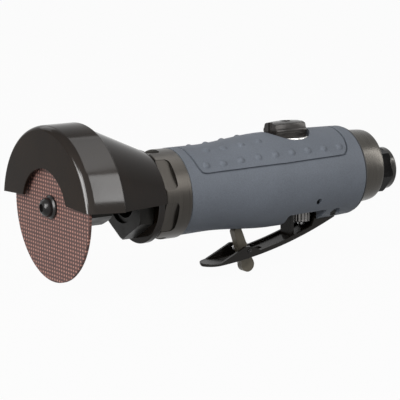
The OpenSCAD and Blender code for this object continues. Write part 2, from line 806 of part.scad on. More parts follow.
// Nose with the tube for guard and nut, the bearing seat and the held flange
module nose_cap() color("#4d4e50") {
    x_tip = nut_setback + nut_lip_t + seat_fit;
    difference() {
        turned([[x_tip, nose_bore_d / 2], [x_tip, nose_tube_d / 2 - bevel], [x_tip + bevel, nose_tube_d / 2],
            [x_shoulder, nose_tube_d / 2], [x_shoulder, nose_neck_d / 2],
            [x_flange, nose_neck_d / 2], [x_flange, motor_d / 2], [x_seam, motor_d / 2],
            [x_seam, nose_bore_d / 2]]);
        rod(x_bearing_f, x_seam - x_bearing_f + over, front_bearing_d + 2 * seat_fit);
    }
}

// Cutter of one wrench flat: a tongue with two rounded corners at its rear end
module collar_flat(turn) {
    half = flat_width_share * sqrt(pow(collar_d / 2, 2) - pow(collar_af / 2, 2));
    r = flat_corner_r;
    rear = collar_hex_len;
    outline = concat([[-over, -half], [-over, half]],
        arc_points(rear - r, half - r, r, 90, 0, bend_steps),
        arc_points(rear - r, r - half, r, 0, -90, bend_steps));
    on_axis(x_collar) rotate([0, 0, turn]) translate([collar_af / 2, 0, 0]) rotate([0, -90, 180])
        linear_extrude(height = collar_wall) polygon(outline);
}

// Clamp collar with wrench flats and the spigot that screws into the grip
module clamp_collar() color("#5b5c58") {
    neck_r = nose_neck_d / 2 + seat_fit;
    flange_r = motor_d / 2 + seat_fit;
    spigot_r = motor_r + spigot_wall;
    rim_r = collar_d / 2;
    difference() {
        union() {
            turned([[x_collar, 0], [x_collar, rim_r - bevel], [x_collar + bevel, rim_r],
                [x_seam - bevel, rim_r], [x_seam, rim_r - bevel], [x_seam, 0]]);
            rod(x_seam, spigot_len, 2 * spigot_r);
        }
        for (i = [0 : flat_count - 1]) {
            collar_flat(collar_turn + 360 * (i + flat_turn_share) / flat_count);
        }
        rod(x_collar - over, collar_len + over, 2 * neck_r);
        rod(x_collar + collar_lip_t, x_seam - x_collar - collar_lip_t + spigot_len + over, 2 * flange_r);
    }
}

// Outline of the hood's sheet: front plate, bend, rim, shoulder, taper and rear web
function guard_outline() =
    let (xf = x_guard, t = guard_t, r = guard_r, b = guard_bend, s = guard_shoulder, c = guard_rear_bend,
        xr = x_rim_rear, xt = x_shoulder - turn_gap, rt = guard_tail_r)
    concat([[xf, guard_window_r]],
        arc_points(xf + b, r - b, b, 180, 90, bend_steps),
        arc_points(xr - c, r - c, c, 90, guard_rear_angle, bend_steps),
        [[xr, r - s], [xt, rt], [xt, guard_web_r], [xt - t, guard_web_r], [xt - t, rt - t],
            [xr - c, r - s - t]],
        arc_points(xf + b, r - b, b - t, 90, 180, bend_steps),
        [[xf + t, guard_window_r]]);

// Hood guard with the ring that turns on the nose
module guard() color("#1c1a19") {
    low = guard_r + guard_drop + over;
    difference() {
        union() {
            difference() {
                translate([0, 0, -guard_drop]) turned(guard_outline());
                from_wheel() translate([x_guard - over, -low, -2 * low])
                    cube([x_shoulder - x_guard + 2 * over, 2 * low, 2 * low + guard_edge_z]);
            }
            rod(x_ring, guard_ring_t, guard_ring_d);
        }
        rod(x_ring - over, guard_ring_t + 2 * over, nose_tube_d + 2 * run_fit);
    }
}

// Hex nut that clamps the guard on the nose
module guard_nut() color("#4a4946") {
    hex_r = nut_af / 2 / cos(hex_half);
    difference() {
        intersection() {
            hex_rod(nut_setback, nut_t, nut_af);
            turned([[nut_setback, 0], [nut_setback, hex_r - bevel], [nut_setback + bevel, hex_r],
                [nut_setback + nut_t - 2 * bevel, hex_r], [nut_setback + nut_t, hex_r - 2 * bevel],
                [nut_setback + nut_t, 0]]);
        }
        rod(nut_setback - over, nut_t + 2 * over, nut_mouth_d);
        rod(nut_setback + nut_lip_t, nut_t, nose_tube_d + 2 * seat_fit);
    }
}

// Radius of the grip at a distance behind the collar
function ease(t) = t * t * (3 - 2 * t);
function grip_r(u) =
    u < waist_u ? grip_front_r + (grip_waist_r - grip_front_r) * ease(max(u, 0) / waist_u)
    : u < belly_u ? grip_waist_r + (grip_belly_r - grip_waist_r) * ease((u - waist_u) / (belly_u - waist_u))
    : grip_belly_r + (grip_tail_r - grip_belly_r) * pow((u - belly_u) / (grip_len - belly_u), 2);

// Half the length of the lever's pin, which ends inside a sink in each lug
lever_pin_half = sqrt(pow(grip_r(lever_pin_u), 2) - pow(lever_pin_z + grip_rise, 2)) - lever_pin_sink;

// Places a shape in the grip's own, slightly rising frame
module grip_frame() {
    from_wheel() translate([x_seam, 0, grip_rise]) rotate([0, -grip_tilt, 0]) children();
}
module grip_turned(outline) {
    grip_frame() rotate([0, 90, 0]) rotate_extrude() polygon([for (p = outline) [p[1], p[0]]]);
}

// The grip's outer form, drawn in by an inset
module grip_form(inset) {
    stops = [0, waist_u, belly_u, grip_len];
    stations = concat([-over], [for (k = [0 : 2]) for (i = [0 : grip_steps - 1])
        stops[k] + (stops[k + 1] - stops[k]) * i / grip_steps]);
    end_r = grip_tail_r - inset;
    grip_turned(concat([[-over, 0]], [for (u = stations) [u, grip_r(u) - inset]],
        [[grip_len - grip_end_bevel, end_r], [grip_len, end_r - grip_end_bevel], [grip_len, 0]]));
}

// Side outline of the top panel, grown by an edge width
function panel_outline(grow) =
    let (n = len(panel_front_u_shares) - 1)
    concat([[x_seam + panel_front_u_shares[n] * grip_len - grow, panel_top_z]],
        [for (i = [n : -1 : 0]) [x_seam + panel_front_u_shares[i] * grip_len - grow,
            panel_front_z_shares[i] * panel_z - grow * (n - i) / n]],
        [for (i = [0 : n]) [x_seam + panel_rear_u_shares[i] * grip_len + grow,
            panel_rear_z_shares[i] * panel_z - grow * (n - i) / n]],
        [[x_seam + panel_rear_u_shares[n] * grip_len + grow, panel_top_z]]);

// Ring-shaped cut that follows the panel's outline on the grip's surface
module panel_groove() {
    width = 2 * grip_belly_r + 2 * over;
    difference() {
        across(panel_outline(groove_w / 2), width);
        across(panel_outline(-groove_w / 2), width + 2 * over);
        grip_form(groove_depth);
    }
}

// Nubs on the top panel, a long and a short row on each side
module nub(u, angle, side) {
    reach = grip_r(u) - nub_ball_r + nub_height;
    grip_frame() translate([u, side * reach * cos(angle), reach * sin(angle)])
        sphere(r = nub_ball_r, $fn = 32);
}
module nubs() {
    for (side = [-1, 1]) {
        for (i = [0 : nub_count - 1]) {
            nub(nub_u_share * grip_len + i * nub_pitch, nub_angle + i * nub_angle_step, side);
        }
        for (i = [0 : short_nub_count - 1]) {
            nub(short_nub_u_share * grip_len + i * nub_pitch,
                short_nub_angle + i * short_nub_angle_step, side);
        }
    }
}

// Pocket under the grip that the lever's valve stands in
module valve_pocket() {
    deep = 2 * grip_belly_r;
    x = [for (s = pocket_u_shares) x_seam + s * grip_len];
    across([[x[0], -deep], [x[0], -grip_belly_r], [x[1], -pocket_ceiling_z], [x[2], -pocket_ceiling_z
        + pocket_top_step], [x[2], -deep]], deep + 2 * over);
}

// Slot between the two lugs that carry the lever's pin
module lever_slot() {
    x_front = x_seam + pocket_u_shares[2] * grip_len - over;
    x_rear = x_lever + lever_slot_rear;
    across([[x_front, -2 * grip_belly_r], [x_front, lever_slot_top - lever_pin_z],
        [x_rear, lever_slot_top - lever_pin_z], [x_rear, -2 * grip_belly_r]], lever_w + 2 * lever_slot_gap);
}

// Slot under the grip that the lock's arm stands in and swings through
module lock_slot() {
    x_front = x_lock - lock_lean - lock_arm_w - lock_slot_front_gap;
    x_rear = x_lock + lock_slot_rear;
    across([[x_front, -2 * grip_belly_r], [x_front, lock_z + lock_slot_top_gap],
        [x_rear, lock_z + lock_slot_top_gap], [x_rear, -2 * grip_belly_r]], lock_t + 2 * lock_slot_side_gap);
}

// Grip housing with all its bores and pockets
module housing() color("#6d7684") {
    motor_bore = motor_d + 2 * seat_fit;
    difference() {
        union() {
            grip_form(0);
            nubs();
        }
        from_wheel() translate([x_seam - 2 * over, -2 * grip_belly_r, -2 * grip_belly_r])
            cube([2 * over, 4 * grip_belly_r, 4 * grip_belly_r]);
        panel_groove();
        rod(x_seam - over, spigot_len + over + seat_fit, motor_d + 2 * (spigot_wall + seat_fit));
        rod(x_seam - over, x_bearing_r - x_seam + over + seat_fit, motor_bore);
        rod(x_seam, x_motor_end + journal_tail + over - x_seam, 2 * (rear_boss_r + seat_fit));
        valve_pocket();
        lever_slot();
        lock_slot();
        cross_rod(x_lever, -lever_pin_z, lever_pin_d + 2 * seat_fit, 2 * grip_belly_r + 2 * over);
        for (side = [-1, 1]) {
            from_wheel() translate([x_lever, side * lever_pin_half, -lever_pin_z]) rotate([-90 * side, 0, 0])
                cylinder(h = grip_belly_r, d = lever_sink_d);
        }
        post(x_valve, valve_ceiling_z - over, bush_top_z, bush_body_d + 2 * seat_fit);
        post(x_valve, bush_top_z - over, chamber_top_z, valve_bore_d);
        cross_rod(x_valve - cross_pin_shift, -cross_pin_z, cross_pin_d + 2 * seat_fit,
            2 * grip_belly_r + 2 * over);
        post(x_knob, knob_floor_z, 2 * grip_belly_r, knob_pocket_d);
        post(x_knob, spool_bottom_z, knob_floor_z + over, spool_d + 2 * run_fit);
        from_wheel() translate([x_valve, 0, passage_z]) rotate([0, 90, 0])
            cylinder(h = x_tail - x_valve, d = passage_d);
        from_wheel() translate([x_motor_end, 0, feed_z]) rotate([0, 90, 0])
            cylinder(h = x_knob - x_motor_end, d = feed_d);
        rod(x_tail - inlet_body_len, inlet_body_len + 2 * over, inlet_body_d + 2 * seat_fit);
    }
}

// Exhaust ring behind the grip, about the grip's own axis
module exhaust_ring() color("#56575a") {
    bulge = arc_points(0, 0, 1, 90, ring_end_angle, ring_steps);
    end_u = grip_len + ring_len;
    difference() {
        grip_turned(concat([[grip_len, 0], [grip_len, ring_r]],
            [for (p = bulge)
                [grip_len + (ring_len - bevel) * (ring_land_share + (1 - ring_land_share) * p[0]),
                ring_tail_r + (ring_r - ring_tail_r) * p[1]]],
            [[end_u, ring_tail_r - bevel], [end_u, 0]]));
        rod(x_tail - over, ring_len + 3 * over, inlet_body_d + 2 * seat_fit);
        grip_turned([[grip_len - over, 0], [grip_len - over, ring_cavity_r],
            [end_u - ring_wall, ring_cavity_r], [end_u - ring_wall, 0]]);
        for (i = [0 : exhaust_slot_count - 1]) {
            grip_frame() translate([end_u - ring_wall - over, 0, 0]) rotate([0, 90, 0])
                rotate([0, 0, 360 * (i + exhaust_turn_share) / exhaust_slot_count])
                translate([exhaust_slot_in_r, -exhaust_slot_w / 2, 0])
                cube([exhaust_slot_out_r - exhaust_slot_in_r, exhaust_slot_w, ring_wall + 4 * over]);
        }
        from_wheel() translate([x_hex, -ring_r - over, -2 * ring_r])
            cube([2 * over, 2 * ring_r + 2 * over, 4 * ring_r]);
    }
}

// Felt ring that quiets the exhaust
module muffler_felt() color("#c8c2b4") {
    u0 = grip_len + felt_gap;
    u1 = grip_len + ring_len - ring_wall - felt_gap;
    r = ring_cavity_r - felt_gap;
    difference() {
        grip_turned([[u0, 0], [u0, r], [u1, r], [u1, 0]]);
        rod(x_tail - over, ring_len + 2 * over, inlet_body_d + 2 * felt_gap);
    }
}

// Inlet bushing with its hex, its round end and the threaded hole
module inlet_bushing() color("#232323") {
    x_body = x_tail - inlet_body_len;
    x_end = x_mouth - inlet_end_len;
    hex_r = inlet_af / 2 / cos(hex_half);
    end_r = inlet_end_d / 2;
    x_lip = x_mouth - inlet_depth - inlet_lip_t;
    difference() {
        union() {
            rod(x_body, x_hex - x_body + over, inlet_body_d);
            intersection() {
                hex_rod(x_hex, inlet_hex_len, inlet_af, inlet_turn);
                turned([[x_hex, 0], [x_hex, hex_r], [x_end - bevel, hex_r], [x_end, hex_r - bevel],
                    [x_end, 0]]);
            }
            turned([[x_end - over, 0], [x_end - over, end_r - bevel], [x_end, end_r],
                [x_mouth - 2 * bevel, end_r], [x_mouth, end_r - 2 * bevel], [x_mouth, 0]]);
        }
        rod(x_mouth - inlet_depth, inlet_depth + over, inlet_bore_d);
        rod(x_lip - over, inlet_lip_t + 2 * over, inlet_lip_d);
        rod(x_body - over, x_lip - x_body + over, inlet_throat_d);
    }
}

// Strainer disc inside the bushing
module inlet_screen() color("#9fa2a6") {
    x_lip = x_mouth - inlet_depth - inlet_lip_t;
    ring_step = inlet_lip_d / 2 / screen_rings;
    difference() {
        rod(x_lip - screen_t, screen_t, inlet_throat_d - 2 * seat_fit);
        for (k = [0 : screen_rings - 1]) {
            for (i = [0 : max(6 * k, 1) - 1]) {
                on_axis(x_lip - screen_t - over) rotate([0, 0, 360 * i / max(6 * k, 1)])
                    translate([k * ring_step, 0, 0])
                    cylinder(h = screen_t + 2 * over, d = screen_hole_d, $fn = 16);
            }
        }
    }
}

// Cylinder across the tool that bounds the lever's bow
module lever_arc(inset) {
    from_wheel() translate([arc_x, 0, arc_z]) rotate([90, 0, 0])
        cylinder(h = lever_w + 2 * over, r = arc_r - inset, center = true, $fn = 360);
}

// The lever's outline from above: straight sides and a round tip
module lever_plan(x_rear) {
    deep = lever_pin_z + 2 * lever_drop;
    from_wheel() translate([0, 0, -deep]) linear_extrude(height = deep) {
        translate([arc_front_x, 0]) circle(r = lever_tip_r);
        translate([arc_front_x, -lever_w / 2]) square([x_rear - arc_front_x, lever_w]);
    }
}

// Side wall outline: front ear for the lock, low wall, rear ear for the pin
module lever_walls() {
    x0 = x_lock - ear_front;
    x_ear = x_lever - rear_ear_r - heel_end;
    deep = lever_drop + lever_pin_z;
    z_low = floor_z(x0) - over;
    difference() {
        union() {
            intersection() {
                across([[x0, z_low], [x0, floor_z(x0) + lever_t], [x_lock - ear_flat, lock_z + ear_top],
                    [x_lock + ear_flat, lock_z + ear_top],
                    [x_lock + ear_rear, floor_z(x_lock + ear_rear) + lever_wall],
                    [x_lever + heel_end, floor_z(x_lock + ear_rear)], [x_lever + heel_end, z_low]], lever_w);
                lever_arc(0);
            }
            intersection() {
                across([[x_lock, -deep], [x_lock, 0], [x_lever + heel_end, 0], [x_lever + heel_end, -deep]],
                    lever_w);
                difference() {
                    lever_arc(0);
                    lever_arc(lever_wall);
                }
            }
            intersection() {
                hull() {
                    cross_rod(x_lever, -lever_pin_z, 2 * rear_ear_r, lever_w);
                    cross_rod(x_lever + heel_end - over, -lever_pin_z - heel_depth + over, 2 * over, lever_w);
                    cross_rod(x_ear, floor_z(x_ear) + 2 * over, 2 * over, lever_w);
                }
                lever_arc(0);
            }
        }
        across([[x0 - over, -2 * deep], [x0 - over, 0], [x_lever + heel_end + over, 0],
            [x_lever + heel_end + over, -2 * deep]], lever_w - 2 * lever_t);
    }
}

// Stamped squeeze lever: bowed floor, side walls and a bent-up tab
module throttle_lever() color("#2a2826") {
    window_w = lock_t + 2 * lock_window_gap;
    difference() {
        union() {
            intersection() {
                lever_plan(x_lever + heel_end);
                difference() {
                    lever_arc(0);
                    lever_arc(lever_t);
                }
            }
            lever_walls();
            across([[x_lever - tab_reach, floor_z(x_lever - tab_reach) + lever_t / 2],
                [x_lever - tab_reach, -pocket_ceiling_z - tab_top_gap],
                [x_lever - tab_reach + lever_t, -pocket_ceiling_z - tab_top_gap],
                [x_lever - tab_reach + lever_t, floor_z(x_lever - tab_reach) + lever_t / 2]], tab_w);
        }
        cross_rod(x_lever, -lever_pin_z, lever_pin_d + 2 * run_fit, lever_w + 2 * over);
        cross_rod(x_lock, lock_z, lock_pin_d + 2 * seat_fit, lever_w + 2 * over);
        across([[x_lock - lock_window_front, 2 * arc_front_z], [x_lock - lock_window_front, 0],
            [x_lock + lock_window_rear, 0], [x_lock + lock_window_rear, 2 * arc_front_z]], window_w);
    }
}

// Pin that the lever swings on
module lever_pin() color("#1d1d1e") {
    cross_rod(x_lever, -lever_pin_z, lever_pin_d, 2 * lever_pin_half);
}

// Lock lever: an upright arm over its hub, and a round finger tab below
module lock_lever() color("#6a675c") {
    x_rear = x_lock - lock_lean;
    x_front = x_rear - lock_arm_w;
    x_base = x_lock - lock_base_front;
    z_top = lock_z + lock_arm_h;
    z_tab = lock_z - lock_tab_drop;
    round_r = lock_arm_round;
    web_r = lock_tab_r * lock_web_share;
    x_tab = x_lock + lock_tab_shift;
    difference() {
        union() {
            across(concat([[x_lock + lock_hub_r, lock_z], [x_rear, z_top]],
                arc_points(x_front + round_r, z_top - round_r, round_r, 90, 180, bend_steps),
                [[x_base, lock_z]]), lock_t);
            cross_rod(x_lock, lock_z, 2 * lock_hub_r, lock_t);
            across([[x_base, lock_z], [x_tab - web_r, z_tab], [x_tab + web_r, z_tab],
                [x_lock + lock_hub_r, lock_z]], lock_t);
            cross_rod(x_tab, z_tab, 2 * lock_tab_r, lock_t);
        }
        cross_rod(x_lock, lock_z, lock_pin_d + 2 * run_fit, lock_t + 2 * over);
    }
}

// Pin that the lock swings on
module lock_pin() color("#3b3a38") {
    cross_rod(x_lock, lock_z, lock_pin_d, lever_w + 2 * lock_pin_head);
}

// Path of the lock's torsion spring: a leg, its turns round the pin, a leg
lock_spring_y = lock_t / 2 + spring_wire_d / 2 + lock_spring_side_gap;
lock_spring_path =
    let (turns = lock_spring_turns, n = rings_per_turn * turns, r = lock_spring_r, y0 = lock_spring_y,
        y1 = y0 + lock_spring_pitch * turns, a1 = 90 + 360 * turns)
    concat([[lock_spring_leg, y0, r]],
        [for (i = [0 : n]) let (a = 90 + 360 * turns * i / n)
            [r * cos(a), y0 + lock_spring_pitch * turns * i / n, r * sin(a)]],
        [[r * cos(a1) - lock_spring_leg * sin(a1), y1, r * sin(a1) + lock_spring_leg * cos(a1)]]);

// Torsion spring that stands the lock up
module lock_spring() color("#8b8d90") {
    echo(lock_spring_least_gap = least_gap(lock_spring_path, spring_wire_d / 2));
    from_wheel() translate([x_lock, 0, lock_z]) tube(lock_spring_path, spring_wire_d / 2, [0, 1, 0]);
}

// Valve bush: fluted head under the grip, body in its bore, plunger hole
module valve_bush() color("#4a4845") {
    z_low = valve_ceiling_z - bush_head_h;
    difference() {
        union() {
            post(x_valve, z_low, valve_ceiling_z, bush_d);
            post(x_valve, valve_ceiling_z - over, bush_top_z, bush_body_d);
        }
        for (i = [0 : flute_count - 1]) {
            from_wheel() translate([x_valve, 0, z_low - over]) rotate([0, 0, 360 * i / flute_count])
                translate([bush_d / 2 + flute_r / 4, 0, 0]) cylinder(h = bush_head_h, r = flute_r);
        }
        post(x_valve, z_low - over, bush_top_z + over, plunger_d + 2 * run_fit);
        cross_rod(x_valve - cross_pin_shift, -cross_pin_z, cross_pin_d + 2 * seat_fit, bush_d + 2 * over);
        from_wheel() translate([x_valve, 0, bush_seal_z]) rotate_extrude()
            translate([bush_body_d / 2, 0]) circle(r = seal_r + seat_fit, $fn = 32);
    }
}

// Seal ring round the bush
module bush_seal() color("#141414") {
    from_wheel() translate([x_valve, 0, bush_seal_z]) intersection() {
        rotate_extrude() translate([bush_body_d / 2, 0]) circle(r = seal_r, $fn = 32);
        cylinder(h = 4 * seal_r, d = bush_body_d, center = true);
    }
}

// Plunger that the lever lifts
module valve_plunger() color("#55524d") {
    r = plunger_d / 2;
    from_wheel() translate([x_valve, 0, 0]) rotate_extrude()
        polygon(concat([[0, bush_top_z - run_fit], [0, plunger_z]],
            arc_points(0, plunger_z + r, r, -plunger_tip_angle, 0, bend_steps),
            [[r, bush_top_z - run_fit]]));
}

// Cross pin that holds the bush in the grip
module valve_cross_pin() color("#161616") {
    u = x_valve - cross_pin_shift - x_seam;
    half = sqrt(pow(grip_r(u), 2) - pow(cross_pin_z + 2 * grip_rise, 2)) - cross_pin_inset;
    cross_rod(x_valve - cross_pin_shift, -cross_pin_z, cross_pin_d, 2 * half);
}

// Poppet that shuts the bush's upper end
module valve_poppet() color("#b08d4a") {
    z0 = bush_top_z + turn_gap;
    union() {
        post(x_valve, z0, z0 + poppet_t, poppet_d);
        post(x_valve, z0 + poppet_t, z0 + poppet_t + poppet_stem_len, poppet_stem_d);
    }
}

// Coil spring over the poppet
valve_spring_z0 = bush_top_z + turn_gap + poppet_t + valve_spring_wire_d / 2 + valve_spring_end_gap;
valve_spring_z1 = chamber_top_z - valve_spring_wire_d / 2 - valve_spring_end_gap;
valve_spring_path =
    let (n = rings_per_turn * valve_spring_turns, rise = valve_spring_z1 - valve_spring_z0)
    [for (i = [0 : n]) let (a = 360 * i / rings_per_turn)
        [valve_spring_r * cos(a), valve_spring_r * sin(a), valve_spring_z0 + rise * i / n]];
module valve_spring() color("#9a9c9f") {
    echo(valve_spring_least_gap = least_gap(valve_spring_path, valve_spring_wire_d / 2));
    from_wheel() translate([x_valve, 0, 0]) tube(valve_spring_path, valve_spring_wire_d / 2, [0, 0, 1]);
}

// Outline of the knob's grip from above, with bowed long sides
module knob_plan(shrink) {
    bow = knob_bulge;
    half_l = knob_len / 2 - shrink;
    half_w = knob_w / 2 - shrink;
    bow_r = (half_l * half_l + bow * bow) / (2 * bow);
    intersection() {
        square([2 * half_l, 2 * half_w], center = true);
        translate([0, half_w - bow_r]) circle(r = bow_r, $fn = 180);
        translate([0, bow_r - half_w]) circle(r = bow_r, $fn = 180);
    }
}

// Regulator knob: round base in the pocket and a bowed grip on it
module regulator_knob() color("#262422") {
    z_base = knob_floor_z + knob_floor_gap;
    z_crown = knob_top_z - knob_crown;
    difference() {
        union() {
            post(x_knob, z_base, z_base + knob_base_t, knob_base_d);
            from_wheel() translate([x_knob, 0, z_base])
                linear_extrude(height = z_crown - z_base) knob_plan(0);
            from_wheel() translate([x_knob, 0, z_crown]) hull() {
                linear_extrude(height = knob_crown / 4) knob_plan(0);
                linear_extrude(height = knob_crown) knob_plan(knob_crown);
            }
        }
        for (side = [-1, 1]) {
            post(x_knob + side * knob_len / 2, z_base + knob_base_t, knob_top_z + over, 2 * knob_notch_r);
        }
        post(x_knob, z_base - over, knob_top_z + over, knob_screw_d + 2 * seat_fit);
        post(x_knob, knob_top_z - knob_screw_head_h - knob_screw_sink, knob_top_z + over,
            knob_screw_head_d + 2 * seat_fit);
    }
}

// Screw through the knob into the spool
module knob_screw() color("#303030") {
    z_head = knob_top_z - knob_screw_sink - knob_screw_head_h;
    difference() {
        union() {
            post(x_knob, z_head, z_head + knob_screw_head_h, knob_screw_head_d);
            post(x_knob, z_head - knob_screw_len, z_head, knob_screw_d);
        }
        from_wheel() translate([x_knob, 0, z_head + knob_screw_head_h / 2])
            cylinder(h = knob_screw_head_h, d = knob_socket_af / cos(hex_half), $fn = 6);
    }
}

// Spool that the knob turns in the air passage
module regulator_spool() color("#a98d55") {
    z0 = spool_bottom_z + spool_foot_gap;
    z1 = knob_floor_z + knob_floor_gap;
    z_screw = knob_top_z - knob_screw_sink - knob_screw_head_h - knob_screw_len;
    difference() {
        post(x_knob, z0, z1, spool_d);
        post(x_knob, z_screw - knob_screw_end_gap, z1 + over, knob_screw_d + 2 * seat_fit);
        from_wheel() translate([x_knob - spool_d, 0, feed_z + spool_port_d / 4]) rotate([0, 90, 0])
            cylinder(h = spool_d, d = spool_port_d);
        from_wheel() translate([x_knob, 0, spool_seal_z]) rotate_extrude()
            translate([spool_d / 2, 0]) circle(r = seal_r + seat_fit, $fn = 32);
    }
}

// Seal ring round the spool
module spool_seal() color("#141414") {
    from_wheel() translate([x_knob, 0, spool_seal_z]) intersection() {
        rotate_extrude() translate([spool_d / 2, 0]) circle(r = seal_r, $fn = 32);
        cylinder(h = 4 * seal_r, d = spool_d, center = true);
    }
}

cutoff_wheel();
wheel_screw();
outer_flange();
drive_arbor();
rotor();
rotor_vanes();
front_bearing_outer();
front_bearing_inner();
front_bearing_balls();
front_bearing_cage();
rear_bearing_outer();
rear_bearing_inner();
rear_bearing_balls();
rear_bearing_cage();
front_end_plate();
motor_cylinder();
rear_end_plate();
cylinder_pin();
nose_cap();
clamp_collar();
guard();
guard_nut();
housing();
exhaust_ring();
muffler_felt();
inlet_bushing();
inlet_screen();
throttle_lever();
lever_pin();
lock_lever();
lock_pin();
lock_spring();
valve_bush();
bush_seal();
valve_plunger();
valve_cross_pin();
valve_poppet();
valve_spring();
regulator_knob();
knob_screw();
regulator_spool();
spool_seal();
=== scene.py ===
"""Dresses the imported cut-off tool with fine meshes, finishes, a studio and a camera.

Sizes in the dataclass fields are millimetres and degrees. Stations run along the tool from the
wheel's front face, heights are counted from the tool's axis, and at() turns both into the frame.
"""

import logging
from dataclasses import dataclass
from enum import Enum
from math import asin, atan2, copysign, cos, degrees, hypot, pi, radians, sin, sqrt, tan, tau
from typing import Iterable, Sequence

import bmesh
import bpy
import numpy as np
from mathutils import Matrix, Quaternion, Vector


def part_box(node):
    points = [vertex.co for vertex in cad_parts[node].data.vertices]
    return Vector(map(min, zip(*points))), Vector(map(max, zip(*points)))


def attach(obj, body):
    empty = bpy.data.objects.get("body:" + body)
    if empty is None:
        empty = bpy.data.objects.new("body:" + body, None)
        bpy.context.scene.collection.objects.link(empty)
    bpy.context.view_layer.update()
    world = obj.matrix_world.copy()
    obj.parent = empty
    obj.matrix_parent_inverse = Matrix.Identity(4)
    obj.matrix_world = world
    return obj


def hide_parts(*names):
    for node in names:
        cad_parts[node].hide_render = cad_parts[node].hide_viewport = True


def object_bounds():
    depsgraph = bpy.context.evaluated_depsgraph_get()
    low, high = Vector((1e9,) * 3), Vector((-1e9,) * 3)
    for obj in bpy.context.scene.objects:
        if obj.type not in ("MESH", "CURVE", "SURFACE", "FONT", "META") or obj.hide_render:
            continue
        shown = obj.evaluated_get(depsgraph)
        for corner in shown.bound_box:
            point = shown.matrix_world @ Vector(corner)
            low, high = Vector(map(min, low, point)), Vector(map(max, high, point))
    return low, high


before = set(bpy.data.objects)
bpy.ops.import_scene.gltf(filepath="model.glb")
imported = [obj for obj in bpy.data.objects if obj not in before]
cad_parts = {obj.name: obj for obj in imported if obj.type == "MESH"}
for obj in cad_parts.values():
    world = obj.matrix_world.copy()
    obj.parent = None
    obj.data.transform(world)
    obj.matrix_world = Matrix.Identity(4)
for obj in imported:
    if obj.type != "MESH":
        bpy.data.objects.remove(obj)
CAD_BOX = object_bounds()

Point = tuple[float, float]
Loop = list[Point]
Piece = bpy.types.Object
Socket = bpy.types.NodeSocket

LOG = logging.getLogger("cutoff_tool")
MM = 0.001
FULL_TURN = 360.0
FIT = 0.03
PLAY = 0.05
SIDES = 160
WHEEL_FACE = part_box("cutoff_wheel")[0].x


class Body(Enum):
    """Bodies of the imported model."""

    GRIP = "grip"
    ROTOR = "rotor"
    GUARD = "guard"
    LEVER = "lever"
    LOCK = "lock"
    KNOB = "knob"


class Slot(Enum):
    """Material slots of the record."""

    ABRASIVE = "abrasive"
    DARK_STEEL = "dark_steel"
    BLACK_STEEL = "black_steel"
    STEEL = "steel"
    BEARING = "bearing_steel"
    BRASS = "brass"
    VANE = "vane"
    GUNMETAL = "gunmetal"
    PAINT = "black_paint"
    COMPOSITE = "composite"
    FELT = "felt"
    LEVER = "black_lever"
    ZINC = "olive_zinc"
    RUBBER = "seal_rubber"


class Cut(Enum):
    """Ways of joining one solid with another."""

    AWAY = "DIFFERENCE"
    ADD = "UNION"
    KEEP = "INTERSECT"


def at(x: float, y: float, z: float) -> Vector:
    """Point of the frame for a station, a side offset and a height in millimetres."""
    return Vector((WHEEL_FACE + x * MM, y * MM, z * MM))


def axes(origin: Vector, along: Vector, up: Vector) -> Matrix:
    """Gives the placing of a shape that is drawn along its own first axis.

    Args:
        origin: Where the shape's zero lies, in metres.
        along: Direction of the shape's first axis.
        up: Direction of the shape's third axis.

    Returns:
        A matrix from millimetres of the shape to metres of the frame.
    """
    side = up.cross(along)
    turn = Matrix((along, side, up)).transposed().to_4x4()
    return Matrix.Translation(origin) @ turn @ Matrix.Scale(MM, 4)


X_DIR, Y_DIR, Z_DIR = Vector((1, 0, 0)), Vector((0, 1, 0)), Vector((0, 0, 1))
TOOL = axes(at(0, 0, 0), X_DIR, Z_DIR)


def lifted(z: float) -> Matrix:
    """Placing along the tool, raised by a height."""
    return axes(at(0, 0, z), X_DIR, Z_DIR)


def upright(x: float, y: float = 0.0) -> Matrix:
    """Placing of a shape that stands upright at a station."""
    return axes(at(x, y, 0), Z_DIR, X_DIR)


def crosswise(x: float, z: float) -> Matrix:
    """Placing of a shape that lies across the tool."""
    return axes(at(x, 0, z), Y_DIR, Z_DIR)


# Outlines


def arc(cx: float, cy: float, r: float, a0: float, a1: float, steps: int = 8) -> Loop:
    """Points of an arc, with its angles in degrees."""
    turns = [radians(a0 + (a1 - a0) * i / steps) for i in range(steps + 1)]
    return [(cx + r * cos(a), cy + r * sin(a)) for a in turns]


def rounded(corners: Sequence[tuple[float, float, float]], steps: int = 6) -> Loop:
    """Rounds the corners of a closed outline.

    Args:
        corners: Corner points, each with its radius.
        steps: Facets of each rounded corner.

    Returns:
        The outline with an arc at each corner that has a radius.
    """
    loop: Loop = []
    count = len(corners)
    for i, (x, y, r) in enumerate(corners):
        p = Vector((x, y))
        back = Vector(corners[i - 1][:2]) - p
        ahead = Vector(corners[(i + 1) % count][:2]) - p
        if r <= 0 or back.length == 0 or ahead.length == 0:
            loop.append((x, y))
            continue
        half = back.angle(ahead) / 2
        run = min(r / tan(half), 0.49 * back.length, 0.49 * ahead.length)
        first, last = p + back.normalized() * run, p + ahead.normalized() * run
        middle = (back.normalized() + ahead.normalized()).normalized()
        centre = p + middle * (run / cos(half))
        a0 = atan2(first.y - centre.y, first.x - centre.x)
        a1 = atan2(last.y - centre.y, last.x - centre.x)
        sweep = (a1 - a0 + pi) % (2 * pi) - pi
        radius = (first - centre).length
        for k in range(steps + 1):
            a = a0 + sweep * k / steps
            loop.append((centre.x + radius * cos(a), centre.y + radius * sin(a)))
    return loop


def hexagon(width: float, turn: float = 0.0) -> Loop:
    """Hexagon by its width across flats, with a corner on the first axis before its turn.

    Args:
        width: Width across its flats.
        turn: Turn in degrees.

    Returns:
        Its six corners.
    """
    r = width / sqrt(3)
    return [(r * cos(radians(60 * i + turn)), r * sin(radians(60 * i + turn)))
            for i in range(6)]


